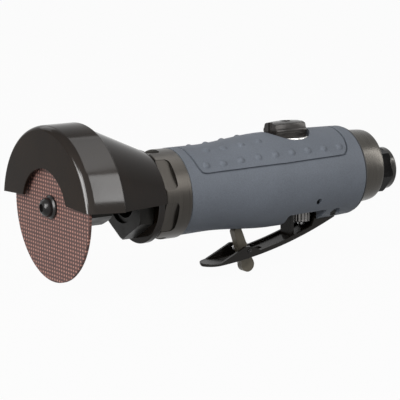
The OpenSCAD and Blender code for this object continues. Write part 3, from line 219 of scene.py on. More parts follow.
def softened_path(points: Sequence[Point], rounds: int = 3) -> Loop:
    """Cuts the corners of an open path again and again, which leaves a smooth curve.

    Args:
        points: Points of the open path.
        rounds: How often the corners are cut.

    Returns:
        The smooth path.
    """
    path = list(points)
    for _ in range(rounds):
        cut: Loop = [path[0]]
        for (ax, ay), (bx, by) in zip(path, path[1:]):
            cut.append((0.75 * ax + 0.25 * bx, 0.75 * ay + 0.25 * by))
            cut.append((0.25 * ax + 0.75 * bx, 0.25 * ay + 0.75 * by))
        cut.append(path[-1])
        path = cut
    return path


def ease(t: float) -> float:
    """Smooth step from 0 to 1."""
    return t * t * (3 - 2 * t)


# Meshes


def solid(name: str, points: Sequence[Vector], faces: Sequence[Sequence[int]]) -> Piece:
    """Makes a closed mesh object with its faces turned outward.

    Args:
        name: Name of the piece.
        points: Corners in metres.
        faces: Corner numbers of each face.

    Returns:
        The new object, linked to the scene.
    """
    mesh = bpy.data.meshes.new(name)
    mesh.from_pydata([tuple(p) for p in points], [], faces)
    work = bmesh.new()
    work.from_mesh(mesh)
    bmesh.ops.remove_doubles(work, verts=work.verts, dist=1e-7)
    bmesh.ops.dissolve_degenerate(work, edges=work.edges, dist=1e-8)
    bmesh.ops.recalc_face_normals(work, faces=work.faces)
    work.to_mesh(mesh)
    work.free()
    piece = bpy.data.objects.new(name, mesh)
    bpy.context.scene.collection.objects.link(piece)
    return piece


def skin(name: str, rings: Sequence[Sequence[Vector]], closed: bool = False) -> Piece:
    """Joins rings of points, each closed in itself, into one solid.

    Args:
        name: Name of the piece.
        rings: Rings with the same number of points.
        closed: True if the last ring joins the first, so that no ends are capped.

    Returns:
        The new object.
    """
    width, count = len(rings[0]), len(rings)
    points = [p for ring in rings for p in ring]
    faces = []
    for i in range(count if closed else count - 1):
        a, b = i * width, ((i + 1) % count) * width
        for k in range(width):
            n = (k + 1) % width
            faces.append((a + k, a + n, b + n, b + k))
    if not closed:
        faces.append(tuple(range(width)))
        faces.append(tuple(range((count - 1) * width, count * width)))
    return solid(name, points, faces)


def lathe(name: str, loop: Loop, place: Matrix = TOOL, steps: int = SIDES) -> Piece:
    """Revolves a closed outline of (station, radius) points about a placing's first axis.

    Args:
        name: Name of the piece.
        loop: Outline of (station, radius) points.
        place: Placing whose first axis is the turning axis.
        steps: Facets of a full turn.

    Returns:
        The new object.
    """
    rings = []
    for i in range(steps):
        a = tau * i / steps
        rings.append([place @ Vector((x, r * cos(a), r * sin(a))) for x, r in loop])
    return skin(name, rings, closed=True)


def slab(name: str, loop: Loop, y0: float, y1: float, place: Matrix = TOOL) -> Piece:
    """Draws a side outline of (station, height) points out across the tool."""
    return skin(name, [[place @ Vector((x, y, z)) for x, z in loop] for y in (y0, y1)])


def bar(name: str, loop: Loop, x0: float, x1: float, place: Matrix = TOOL) -> Piece:
    """Draws an end outline of (side, height) points out along a placing's first axis."""
    return skin(name, [[place @ Vector((x, y, z)) for y, z in loop] for x in (x0, x1)])


def rod(name: str, x0: float, x1: float, r: float, place: Matrix = TOOL,
        steps: int = 96) -> Piece:
    """Plain round cutter along a placing's first axis."""
    return bar(name, arc(0, 0, r, 0, FULL_TURN * (steps - 1) / steps, steps - 1), x0, x1, place)


def wire(name: str, path: Sequence[Vector], r: float, axis: Vector, sides: int = 12) -> Piece:
    """Sweeps a round wire along a path of millimetre points.

    Args:
        name: Name of the piece.
        path: Points that the wire follows, placed in millimetres of the tool.
        r: Radius of the wire.
        axis: Direction that is never along the path.
        sides: Facets round the wire.

    Returns:
        The new object.
    """
    rings = []
    for i, p in enumerate(path):
        run = (path[min(i + 1, len(path) - 1)] - path[max(i - 1, 0)]).normalized()
        n = run.cross(axis).normalized()
        b = run.cross(n)
        rings.append([TOOL @ (p + r * (cos(a) * n + sin(a) * b))
                      for a in (tau * k / sides for k in range(sides))])
    return skin(name, rings)


def settle(piece: Piece) -> None:
    """Turns a piece's modifiers into its mesh.

    Args:
        piece: The piece with its modifiers.
    """
    bpy.context.view_layer.update()
    graph = bpy.context.evaluated_depsgraph_get()
    mesh = bpy.data.meshes.new_from_object(piece.evaluated_get(graph))
    old = piece.data
    piece.modifiers.clear()
    piece.data = mesh
    mesh.name = piece.name
    bpy.data.meshes.remove(old)


def join(piece: Piece, tool: Piece, how: Cut = Cut.AWAY) -> Piece:
    """Cuts, adds or keeps the tool's volume on a piece, and removes the tool.

    Args:
        piece: The piece that stays.
        tool: The solid that is used up.
        how: What is done with the tool's volume.

    Returns:
        The piece.
    """
    step = piece.modifiers.new("join", "BOOLEAN")
    step.operation = how.value
    step.solver = "MANIFOLD"
    step.object = tool
    settle(piece)
    spent = tool.data
    bpy.data.objects.remove(tool)
    bpy.data.meshes.remove(spent)
    return piece


def cut_all(piece: Piece, tools: Iterable[Piece]) -> Piece:
    """Cuts several tools out of a piece.

    Args:
        piece: The piece that stays.
        tools: Solids that are used up.

    Returns:
        The piece.
    """
    for tool in tools:
        join(piece, tool)
    return piece


def soften(piece: Piece, width: float, steps: int = 2, angle: float = 35.0) -> Piece:
    """Rounds a piece's sharp edges by a width in millimetres.

    Args:
        piece: The piece.
        width: Width of the rounding in millimetres.
        steps: Facets of the rounding.
        angle: Least angle in degrees of the edges that are rounded.

    Returns:
        The piece.
    """
    step = piece.modifiers.new("soften", "BEVEL")
    step.width = width * MM
    step.segments = steps
    step.limit_method = "ANGLE"
    step.angle_limit = radians(angle)
    step.use_clamp_overlap = True
    settle(piece)
    return piece


def shade(piece: Piece, angle: float = 40.0, weighted: bool = True) -> Piece:
    """Smooths a piece's shading up to an angle, and keeps its flat faces flat.

    Args:
        piece: The piece.
        angle: Least angle in degrees of the edges that stay sharp.
        weighted: True if large faces lead the shading of their edges.

    Returns:
        The piece.
    """
    mesh = piece.data
    mesh.polygons.foreach_set("use_smooth", [True] * len(mesh.polygons))
    mesh.set_sharp_from_angle(angle=radians(angle))
    if weighted:
        step = piece.modifiers.new("flat_faces", "WEIGHTED_NORMAL")
        step.keep_sharp = True
        step.weight = 80
    return piece


# Finishes


class Shader:
    """Node tree of one material, with short ways to add and link its nodes."""

    def __init__(self, name: str) -> None:
        """Starts a material with a bare principled shader.

        Args:
            name: Name of the material.
        """
        self.material = bpy.data.materials.new(name)
        self.material.use_nodes = True
        self.tree = self.material.node_tree
        self.surface = self.tree.nodes["Principled BSDF"]

    def node(self, kind: str, **values: object) -> bpy.types.Node:
        """Adds a node and sets its properties.

        Args:
            kind: Kind of the node.
            values: Properties and what they are set to.

        Returns:
            The new node.
        """
        made = self.tree.nodes.new(kind)
        for key, value in values.items():
            setattr(made, key, value)
        return made

    def link(self, out: Socket, into: Socket) -> None:
        """Links one socket to another."""
        self.tree.links.new(out, into)

    def set(self, **values: object) -> None:
        """Sets plain numbers and colours on the shader's own sockets."""
        for key, value in values.items():
            self.surface.inputs[key.replace("_", " ")].default_value = value

    def coords(self, scale: tuple[float, float, float] = (1, 1, 1),
               turn: tuple[float, float, float] = (0, 0, 0)) -> Socket:
        """Object coordinates in metres, stretched and turned.

        Args:
            scale: Stretch along each axis.
            turn: Turn about each axis in degrees.

        Returns:
            The coordinates' socket.
        """
        source = self.node("ShaderNodeTexCoord")
        mapping = self.node("ShaderNodeMapping")
        mapping.inputs["Scale"].default_value = scale
        mapping.inputs["Rotation"].default_value = [radians(a) for a in turn]
        self.link(source.outputs["Object"], mapping.inputs["Vector"])
        return mapping.outputs["Vector"]

    def noise(self, coords: Socket, scale: float, detail: float = 2.0) -> Socket:
        """Noise over coordinates, by its grains to the metre.

        Args:
            coords: The coordinates' socket.
            scale: Grains to the metre.
            detail: Finer layers of the noise.

        Returns:
            The noise's socket.
        """
        made = self.node("ShaderNodeTexNoise")
        made.inputs["Scale"].default_value = scale
        made.inputs["Detail"].default_value = detail
        self.link(coords, made.inputs["Vector"])
        return made.outputs["Fac"]

    def math(self, how: str, a: object, b: object = None) -> Socket:
        """Calculates with sockets or numbers.

        Args:
            how: Kind of the sum.
            a: First socket or number.
            b: Second socket or number.

        Returns:
            The result's socket.
        """
        made = self.node("ShaderNodeMath", operation=how)
        for value, socket in ((a, made.inputs[0]), (b, made.inputs[1])):
            if isinstance(value, Socket):
                self.link(value, socket)
            elif value is not None:
                socket.default_value = value
        return made.outputs[0]

    def blend(self, a: Socket, share: float, b: Socket, rest: float) -> Socket:
        """Adds two sockets by their shares."""
        return self.math("ADD", self.math("MULTIPLY", a, share), self.math("MULTIPLY", b, rest))

    def ramp(self, factor: Socket,
             stops: Sequence[tuple[float, Sequence[float]]]) -> Socket:
        """Colours along a factor.

        Args:
            factor: Socket that runs from 0 to 1.
            stops: Places and their colours.

        Returns:
            The ramp's colour socket.
        """
        made = self.node("ShaderNodeValToRGB")
        ramp = made.color_ramp
        while len(ramp.elements) < len(stops):
            ramp.elements.new(0.5)
        for element, (place, colour) in zip(ramp.elements, stops):
            element.position = place
            element.color = (*colour[:3], 1.0)
        self.link(factor, made.inputs["Fac"])
        return made.outputs["Color"]

    def tint(self, factor: Socket, colour: Sequence[float], dark: float, light: float) -> None:
        """Colours the surface from a darker to a lighter tone over a noise's middle range.

        Args:
            factor: The noise's socket.
            colour: The finish's colour.
            dark: Factor of the darkest tone.
            light: Factor of the lightest tone.
        """
        stops = [(0.3, shaded(colour, dark)), (0.7, shaded(colour, light))]
        self.to(self.ramp(factor, stops), "Base Color")

    def spread(self, factor: Socket, low: float, high: float) -> Socket:
        """Maps a noise's middle range onto two limits.

        Args:
            factor: The noise's socket.
            low: Limit at the low end.
            high: Limit at the high end.

        Returns:
            The result's socket.
        """
        made = self.node("ShaderNodeMapRange")
        made.inputs["From Min"].default_value = 0.3
        made.inputs["From Max"].default_value = 0.7
        made.inputs["To Min"].default_value = low
        made.inputs["To Max"].default_value = high
        self.link(factor, made.inputs["Value"])
        return made.outputs["Result"]

    def bump(self, height: Socket, strength: float, depth: float) -> None:
        """Raises the surface by a height, with its depth in millimetres.

        Args:
            height: The height's socket.
            strength: Share of the height that shows.
            depth: Depth in millimetres.
        """
        made = self.node("ShaderNodeBump")
        made.inputs["Strength"].default_value = strength
        made.inputs["Distance"].default_value = depth * MM
        self.link(height, made.inputs["Height"])
        self.link(made.outputs["Normal"], self.surface.inputs["Normal"])

    def to(self, socket: Socket, name: str) -> None:
        """Links a socket to one of the shader's inputs."""
        self.link(socket, self.surface.inputs[name])


def shaded(colour: Sequence[float], by: float) -> tuple[float, float, float]:
    """A colour made lighter or darker by a factor."""
    return tuple(min(1.0, c * by) for c in colour)


@dataclass(frozen=True)
class Finish:
    """Surface finish that every piece of one kind shares."""

    name: str
    slot: Slot
    colour: tuple[float, float, float]

    def paint(self, shader: Shader) -> None:
        """Lays the finish's nodes into a material."""
        raise NotImplementedError

    def material(self) -> bpy.types.Material:
        """Gives the finish's material, made once.

        Returns:
            The material.
        """
        found = bpy.data.materials.get(self.name)
        if found is None:
            shader = Shader(self.name)
            self.paint(shader)
            found = shader.material
        return found


@dataclass(frozen=True)
class GrainedComposite(Finish):
    """Moulded composite with a fine eroded grain."""

    grain: float = 1700.0
    mottle: float = 70.0

    def paint(self, shader: Shader) -> None:
        """Grain in colour, roughness and relief.

        Args:
            shader: The material that takes the nodes.
        """
        coords = shader.coords()
        fine = shader.noise(coords, self.grain, 3.0)
        broad = shader.noise(coords, self.mottle, 2.0)
        mixed = shader.blend(fine, 0.7, broad, 0.3)
        shader.tint(mixed, self.colour, 0.84, 1.16)
        shader.to(shader.spread(fine, 0.5, 0.66), "Roughness")
        shader.set(Specular_IOR_Level=0.15)
        shader.bump(fine, 0.35, 0.12)


@dataclass(frozen=True)
class GlossPaint(Finish):
    """Gloss coating with a faint orange peel."""

    rough: float = 0.2
    gloss: float = 0.45
    peel: float = 420.0

    def paint(self, shader: Shader) -> None:
        """Peel in relief, drift in colour and roughness.

        Args:
            shader: The material that takes the nodes.
        """
        coords = shader.coords()
        peel = shader.noise(coords, self.peel, 1.0)
        drift = shader.noise(coords, 45.0, 3.0)
        shader.tint(drift, self.colour, 0.8, 1.25)
        shader.to(shader.spread(drift, self.rough * 0.85, self.rough * 1.2), "Roughness")
        shader.set(Specular_IOR_Level=self.gloss)
        away = shader.node("ShaderNodeLayerWeight").outputs["Facing"]
        facing = shader.math("ADD", shader.math("MULTIPLY", away, -2 * self.gloss), 1.1 * self.gloss)
        shader.to(shader.math("MAXIMUM", facing, 0.2 * self.gloss), "Specular IOR Level")
        shader.bump(peel, 0.05, 0.1)


@dataclass(frozen=True)
class TurnedMetal(Finish):
    """Metal with fine tool marks round an axis."""

    rough: float = 0.32
    marks: tuple[float, float, float] = (5200.0, 60.0, 60.0)
    relief: float = 0.06

    def paint(self, shader: Shader) -> None:
        """Tool marks in colour, roughness and relief.

        Args:
            shader: The material that takes the nodes.
        """
        lines = shader.noise(shader.coords(self.marks), 1.0, 3.0)
        drift = shader.noise(shader.coords(), 55.0, 3.0)
        mixed = shader.blend(lines, 0.6, drift, 0.4)
        shader.tint(mixed, self.colour, 0.78, 1.22)
        shader.to(shader.spread(lines, self.rough * 0.8, self.rough * 1.25), "Roughness")
        shader.set(Metallic=1.0)
        shader.bump(lines, self.relief, 0.05)


@dataclass(frozen=True)
class OxideSteel(Finish):
    """Blackened steel with an oily, slightly cloudy sheen."""

    rough: float = 0.3
    metal: float = 1.0
    gloss: float = 0.25

    def paint(self, shader: Shader) -> None:
        """Clouds in colour and roughness, pits in relief.

        Args:
            shader: The material that takes the nodes.
        """
        coords = shader.coords()
        clouds = shader.noise(coords, 160.0, 4.0)
        pits = shader.noise(coords, 2600.0, 2.0)
        shader.tint(clouds, self.colour, 0.72, 1.3)
        shader.to(shader.spread(clouds, self.rough * 0.8, self.rough * 1.25), "Roughness")
        shader.set(Metallic=self.metal, Specular_IOR_Level=self.gloss)
        shader.bump(pits, 0.06, 0.05)


@dataclass(frozen=True)
class WovenAbrasive(Finish):
    """Bonded abrasive with a glass mesh pressed into its face."""

    thread: tuple[float, float, float] = (0.36, 0.182, 0.142)
    pitch_y: float = 2.45
    pitch_z: float = 1.95

    def paint(self, shader: Shader) -> None:
        """Crossing threads and grit in colour and relief.

        Args:
            shader: The material that takes the nodes.
        """
        split = shader.node("ShaderNodeSeparateXYZ")
        shader.link(shader.coords(), split.inputs[0])
        rows = []
        for axis, pitch in (("Y", self.pitch_y), ("Z", self.pitch_z)):
            angle = shader.math("MULTIPLY", split.outputs[axis], tau / (pitch * MM))
            wave = shader.math("MULTIPLY", shader.math("SINE", angle), 0.5)
            rows.append(shader.math("ADD", wave, 0.5))
        knots = shader.math("MULTIPLY", rows[0], rows[1])
        grit = shader.noise(shader.coords(), 3400.0, 3.0)
        stain = shader.noise(shader.coords(), 260.0, 3.0)
        tone = shader.blend(knots, 0.62, grit, 0.3)
        tone = shader.math("ADD", tone, shader.math("MULTIPLY", stain, 0.18))
        shader.to(shader.ramp(tone, [(0.2, shaded(self.colour, 0.3)), (0.42, self.colour),
                                     (0.75, self.thread)]), "Base Color")
        shader.to(shader.spread(grit, 0.6, 0.85), "Roughness")
        shader.bump(tone, 0.6, 0.25)


@dataclass(frozen=True)
class SoftMatter(Finish):
    """Rubber, felt or laminate with a coarse or fine fibre."""

    rough: float = 0.8
    fibre: float = 900.0
    relief: float = 0.3

    def paint(self, shader: Shader) -> None:
        """Fibres in colour and relief.

        Args:
            shader: The material that takes the nodes.
        """
        fibre = shader.noise(shader.coords(), self.fibre, 4.0)
        shader.tint(fibre, self.colour, 0.7, 1.2)
        shader.to(shader.spread(fibre, self.rough * 0.9, min(1.0, self.rough * 1.1)), "Roughness")
        shader.bump(fibre, self.relief, 0.2)


ABRASIVE = WovenAbrasive("woven_abrasive", Slot.ABRASIVE, (0.09, 0.032, 0.0245))
COMPOSITE = GrainedComposite("grained_composite", Slot.COMPOSITE, (0.146, 0.162, 0.188))
# The warm brown tone in the hood's near-black paint is painted reflection of brown surroundings.
HOOD_PAINT = GlossPaint("hood_gloss", Slot.PAINT, (0.01, 0.0057, 0.0028), 0.13, 0.38)
LEVER_PAINT = GlossPaint("lever_gloss", Slot.LEVER, (0.0085, 0.0068, 0.0052), 0.24, 0.3)
GUNMETAL = TurnedMetal("turned_gunmetal", Slot.GUNMETAL, (0.05, 0.046, 0.041), 0.34)
RING_METAL = TurnedMetal("satin_ring", Slot.GUNMETAL, (0.062, 0.058, 0.052), 0.3)
NOSE_STEEL = OxideSteel("nose_oxide", Slot.DARK_STEEL, (0.018, 0.017, 0.015), 0.36, 0.12, 0.12)
SCREW_STEEL = OxideSteel("screw_oxide", Slot.BLACK_STEEL, (0.016, 0.015, 0.0145), 0.22, 0.3)
INLET_STEEL = OxideSteel("inlet_oxide", Slot.BLACK_STEEL, (0.003, 0.0029, 0.0027), 0.24, 0.02, 0.05)
# Lighter, more metallic copy of the inlet's steel for its round end: partly polished metal, partly painted
# highlight.
INLET_END_HIGHLIGHT = OxideSteel("inlet_end_highlight_oxide", Slot.BLACK_STEEL, (0.05, 0.048, 0.045), 0.2, 0.7)
KNOB_METAL = OxideSteel("knob_metal", Slot.BLACK_STEEL, (0.026, 0.023, 0.021), 0.24, 0.35)
BASE_METAL = TurnedMetal("polished_base", Slot.BLACK_STEEL, (0.62, 0.61, 0.59), 0.16,
                         (60.0, 60.0, 900.0), 0.02)
LOCK_ZINC = OxideSteel("lock_plating", Slot.ZINC, (0.095, 0.085, 0.066), 0.42, 0.4, 0.22)
BUSH_METAL = TurnedMetal("bush_metal", Slot.DARK_STEEL, (0.17, 0.165, 0.16), 0.3, (60.0, 60.0, 900.0))
GROUND = TurnedMetal("ground_steel", Slot.STEEL, (0.42, 0.42, 0.42), 0.3)
BEARING = TurnedMetal("polished_race", Slot.BEARING, (0.6, 0.6, 0.61), 0.16)
BRASS = TurnedMetal("turned_brass", Slot.BRASS, (0.55, 0.39, 0.16), 0.3)
VANE = SoftMatter("vane_laminate", Slot.VANE, (0.16, 0.085, 0.035), 0.55, 700.0, 0.15)
FELT = SoftMatter("muffler_felt_fibre", Slot.FELT, (0.45, 0.42, 0.35), 0.95, 1500.0, 0.8)
RUBBER = SoftMatter("seal_compound", Slot.RUBBER, (0.012, 0.012, 0.012), 0.7, 1800.0, 0.1)


def coat(piece: Piece, finish: Finish) -> None:
    """Gives an object one finish in place of what it had."""
    piece.data.materials.clear()
    piece.data.materials.append(finish.material())


def put_on(piece: Piece, finish: Finish, body: Body, *nodes: str) -> Piece:
    """Gives a piece its finish and its body, and hides the nodes that it stands for.

    Args:
        piece: The piece, in place.
        finish: Its finish.
        body: The body that carries it.
        nodes: Nodes that aren't shown any more.

    Returns:
        The piece.
    """
    coat(piece, finish)
    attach(piece, body.value)
    if nodes:
        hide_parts(*nodes)
    LOG.info("%s: %d faces on %s", piece.name, len(piece.data.polygons), body.value)
    return piece


def redress(finish: Finish, *nodes: str) -> None:
    """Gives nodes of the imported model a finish.

    Args:
        finish: Their finish.
        nodes: Names of the nodes.
    """
    for name in nodes:
        coat(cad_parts[name], finish)
        LOG.info("%s: %s", name, finish.name)


# Sub-assemblies


@dataclass
class WheelSet:
    """Abrasive wheel with its screw, washer and arbor."""

    wheel_r: float = 38.1
    wheel_t: float = 1.6
    bore_r: float = 4.8
    edge_r: float = 0.3
    washer_r: float = 6.0
    washer_t: float = 1.8
    washer_rim_t: float = 1.0
    land_r: float = 5.0
    head_r: float = 4.8
    head_h: float = 4.2
    shank_r: float = 3.0
    shank_len: float = 12.0
    socket_af: float = 4.0
    socket_depth: float = 2.0
    arbor_len: float = 30.0
    flange_r: float = 12.2
    flange_t: float = 3.4
    neck_r: float = 8.5
    hex_af: float = 21.0
    hex_len: float = 20.0
    shaft_r: float = 6.03

    def wheel(self) -> Piece:
        """Disc with softened edges.

        Returns:
            The wheel.
        """
        r, t, e = self.wheel_r, self.wheel_t, self.edge_r
        loop = rounded([(0, self.bore_r, 0), (0, r, e), (t, r, e), (t, self.bore_r, 0)])
        piece = lathe("cutting_disc", loop, steps=2 * SIDES)
        return shade(piece)

    def screw(self) -> Piece:
        """Button head with its socket, and the shank.

        Returns:
            The screw.
        """
        x0, h, r = -self.washer_t, self.head_h, self.head_r
        dome = [(x0, r), (x0 - 0.5, r)] + [(x0 - 0.5 - (h - 0.5) * sin(a), r * cos(a) ** 0.8)
                                          for a in (radians(6 * k) for k in range(1, 13))]
        shank = [(x0 - h, 0), (self.shank_len, 0), (self.shank_len, self.shank_r)]
        piece = lathe("button_screw", [(x0, self.shank_r)] + dome + shank, steps=96)
        join(piece, bar("socket", hexagon(self.socket_af, 30), x0 - h - 1, x0 - h + self.socket_depth))
        soften(piece, 0.15, 2, 40)
        return shade(piece)

    def washer(self) -> Piece:
        """Dished washer.

        Returns:
            The washer.
        """
        bore = self.shank_r + FIT
        loop = rounded([(0, bore, 0), (0, self.washer_r, 0.2), (-self.washer_rim_t, self.washer_r, 0.35),
                        (-self.washer_t, self.land_r, 0.3), (-self.washer_t, bore, 0)])
        piece = lathe("dished_washer", loop, steps=128)
        return shade(piece)

    def arbor(self) -> Piece:
        """Arbor with flange, neck and chamfered hex.

        Returns:
            The arbor.
        """
        x_face, x_hex = self.wheel_t, self.arbor_len - self.hex_len
        big = self.hex_af / sqrt(3)
        body = lathe("spindle_arbor", rounded([
            (x_face, self.shank_r + FIT, 0), (x_face, self.flange_r, 0.6),
            (x_face + self.flange_t, self.flange_r, 0.6), (x_face + self.flange_t, self.neck_r, 0.8),
            (x_hex + 1, self.neck_r, 0), (x_hex + 1, self.shank_r + FIT, 0)]))
        nut = bar("hex", hexagon(self.hex_af, 30), x_hex, self.arbor_len)
        join(nut, lathe("turned", [(x_hex - 1, 0), (x_hex, big - 1.2), (x_hex + 1.2, big + 0.3),
                                   (self.arbor_len - 1.8, big + 0.3), (self.arbor_len, big - 1.9),
                                   (self.arbor_len + 1, 0)]), Cut.KEEP)
        join(nut, rod("bore", x_hex - 2, self.shank_len + 2, self.shank_r + FIT))
        join(nut, rod("socket", self.shank_len + 1, self.arbor_len + 2, self.shaft_r))
        join(body, nut, Cut.ADD)
        soften(body, 0.25, 2, 25)
        return shade(body)

    def dress(self) -> None:
        """Builds the set and gives it its finishes."""
        put_on(self.wheel(), ABRASIVE, Body.ROTOR, "cutoff_wheel")
        put_on(self.screw(), SCREW_STEEL, Body.ROTOR, "wheel_screw")
        put_on(self.washer(), SCREW_STEEL, Body.ROTOR, "outer_flange")
        put_on(self.arbor(), NOSE_STEEL, Body.ROTOR, "drive_arbor")


@dataclass
class HoodGuard:
    """Pressed hood and the ring that turns on the nose."""

    front: float = -3.8
    rim_len: float = 21.3
    radius: float = 43.8
    drop: float = 3.2
    side: float = 1.0
    lean: float = 0.023
    sheet: float = 1.8
    window_r: float = 22.5
    edge_z: float = 2.6
    edge_fall: float = 0.051
    plate_rise: float = 0.045
    bend: float = 4.5
    bevel: float = 2.2
    run_out: float = 3.1
    bend_angles: tuple[float, float, float] = (18.0, 62.0, 90.0)
    shoulder: float = 1.6
    rear_bend: float = 2.2
    tail_x: float = 52.05
    tail_r: float = 26.65
    tail_bend: float = 2.6
    web_r: float = 17.0
    ring_x: float = 48.05
    ring_r: float = 24.0
    ring_bore_r: float = 14.05
    ring_edge: float = 0.7
    hem: float = 0.3
    turn_steps: int = 144

    def outline(self) -> Loop:
        """Section of the sheet from the window to the rear web and back.

        Returns:
            Station and radius of each point.
        """
        xf, xr, xt, t = self.front, self.front + self.rim_len, self.tail_x, self.sheet
        r, s = self.radius, self.shoulder
        rise = (r - s - self.tail_r) / (xt - xr)
        return rounded([
            (xf, self.window_r, 0.3), *self.front_bend(), (xr, r, self.rear_bend), (xr + 0.3, r - s, 0.9),
            (xt, self.tail_r, self.tail_bend), (xt, self.web_r, 0), (xt - t, self.web_r, 0),
            (xt - t, self.tail_r - t + rise * t * 0.5, 1.2), (xr - 1.2, r - s - t + 0.4, 1.5),
            (xr - t - 0.2, r - t, 1.2), (xf + t, r - t, 0.5), (xf + t, self.window_r, 0.3)], 8)

    def front_bend(self, steps: int = 10) -> list[tuple[float, float, float]]:
        """Front edge of the section: a broad bevel that runs out into the rim.

        Args:
            steps: Facets of the bevel, and of its run-out.

        Returns:
            Corners that take no rounding.
        """
        x, r, path = 0.0, 0.0, [(0.0, 0.0)]
        start, middle, end = self.bend_angles
        for length, first, last in ((self.bevel, start, middle), (self.run_out, middle, end)):
            for k in range(steps):
                a = radians(first + (last - first) * (k + 0.5) / steps)
                x, r = x + length / steps * sin(a), r + length / steps * cos(a)
                path.append((x, r))
        return [(self.front + px, self.radius - r + pr, 0.0) for px, pr in path]

    def level(self, x: float, r: float) -> float:
        """Height of the lower edge, which falls to the rear and outwards on the plate."""
        inwards = self.radius - r if x < self.front + self.bend else 0.0
        return self.edge_z + self.drop - self.edge_fall * (x - self.front) + self.plate_rise * inwards

    def build(self) -> Piece:
        """Sweeps the section over the hood's arc, down to its lower edge.

        Returns:
            The hood.
        """
        place = lifted(-self.drop)
        loop = self.outline()
        rings = []
        for i in range(self.turn_steps + 1):
            share = i / self.turn_steps
            ring = []
            for x, r in loop:
                low = asin(self.level(x, r) / r)
                a = low + (pi - 2 * low) * share
                fade = (self.tail_x - x) / (self.tail_x - self.front)
                y = -r * cos(a)
                ring.append(place @ Vector((x - self.lean * fade * y, y + self.side * fade, r * sin(a))))
            rings.append(ring)
        hood = skin("hood_guard", rings)
        x0, x1 = self.ring_x, self.tail_x
        ring = lathe("turning_ring", rounded([
            (x0, self.ring_bore_r, 0.2), (x0, self.ring_r, self.ring_edge),
            (x1, self.ring_r, self.ring_edge), (x1, self.ring_bore_r, 0.2)]))
        join(hood, ring, Cut.ADD)
        join(hood, rod("bore", x0 - 3, x1 + 1, self.ring_bore_r, steps=SIDES))
        soften(hood, self.hem, 3, 50)
        return shade(hood, 35)

    def dress(self) -> None:
        """Builds the hood and paints it."""
        put_on(self.build(), HOOD_PAINT, Body.GUARD, "guard")


@dataclass
class Nose:
    """Guard nut and clamp collar in front of the grip."""

    nut_x: float = 40.0
    nut_t: float = 8.0
    nut_af: float = 37.0
    mouth_r: float = 12.7
    lip_t: float = 1.6
    tube_r: float = 14.03
    collar_x: float = 53.3
    seam_x: float = 68.6
    collar_r: float = 23.2
    flat_r: float = 21.3
    flat_len: float = 7.3
    flat_share: float = 0.94
    flat_corner: float = 2.6
    turn: float = 23.0
    edge: float = 0.6
    lip_len: float = 5.0
    neck_r: float = 16.53
    bore_r: float = 19.33
    spigot_r: float = 20.8
    spigot_len: float = 8.0

    def nut(self) -> Piece:
        """Chamfered hex nut with its front lip.

        Returns:
            The nut.
        """
        x0, x1, big = self.nut_x, self.nut_x + self.nut_t, self.nut_af / sqrt(3)
        piece = bar("lock_nut", hexagon(self.nut_af, 30), x0, x1)
        turned = [(x0 - 1, 0), (x0, big - 0.9), (x0 + 0.7, big + 0.3), (x1 - 0.7, big + 0.3),
                  (x1, big - 0.9), (x1 + 1, 0)]
        join(piece, lathe("turned", turned), Cut.KEEP)
        join(piece, rod("mouth", x0 - 2, x1 + 2, self.mouth_r))
        join(piece, rod("tube", x0 + self.lip_t, x1 + 2, self.tube_r))
        soften(piece, 0.3, 2, 25)
        return shade(piece)

    def flat(self, turn: float) -> Piece:
        """Cutter of one wrench flat, with rounded corners at its rear end.

        Args:
            turn: Turn round the collar in degrees.

        Returns:
            The cutter.
        """
        half = self.flat_share * sqrt(self.collar_r ** 2 - self.flat_r ** 2)
        rear = self.flat_len
        loop = rounded([(-1, -half, 0), (rear, -half, self.flat_corner), (rear, half, self.flat_corner),
                        (-1, half, 0)])
        a = radians(turn)
        out = Vector((0, sin(a), -cos(a)))
        return slab("flat", loop, 0.0, 4.0,
                    axes(at(self.collar_x, 0, 0) + out * self.flat_r * MM, X_DIR, X_DIR.cross(out)))

    def collar(self) -> Piece:
        """Collar with wrench flats, bore and spigot.

        Returns:
            The collar.
        """
        x0, x1, r, e = self.collar_x, self.seam_x, self.collar_r, self.edge
        piece = lathe("clamp_sleeve", rounded([
            (x0, 0, 0), (x0, r, e), (x1, r, e), (x1, self.spigot_r, 0),
            (x1 + self.spigot_len, self.spigot_r, 0.4), (x1 + self.spigot_len, 0, 0)]))
        cut_all(piece, (self.flat(self.turn + 30 + 60 * i) for i in range(6)))
        join(piece, rod("neck", x0 - 1, x1, self.neck_r, steps=SIDES))
        join(piece, rod("bore", x0 + self.lip_len, x1 + self.spigot_len + 1, self.bore_r, steps=SIDES))
        soften(piece, 0.35, 3, 25)
        return shade(piece)

    def dress(self) -> None:
        """Builds nut and collar and gives them their finishes."""
        put_on(self.nut(), NOSE_STEEL, Body.GRIP, "guard_nut")
        put_on(self.collar(), GUNMETAL, Body.GRIP, "clamp_collar")
        redress(NOSE_STEEL, "nose_cap")


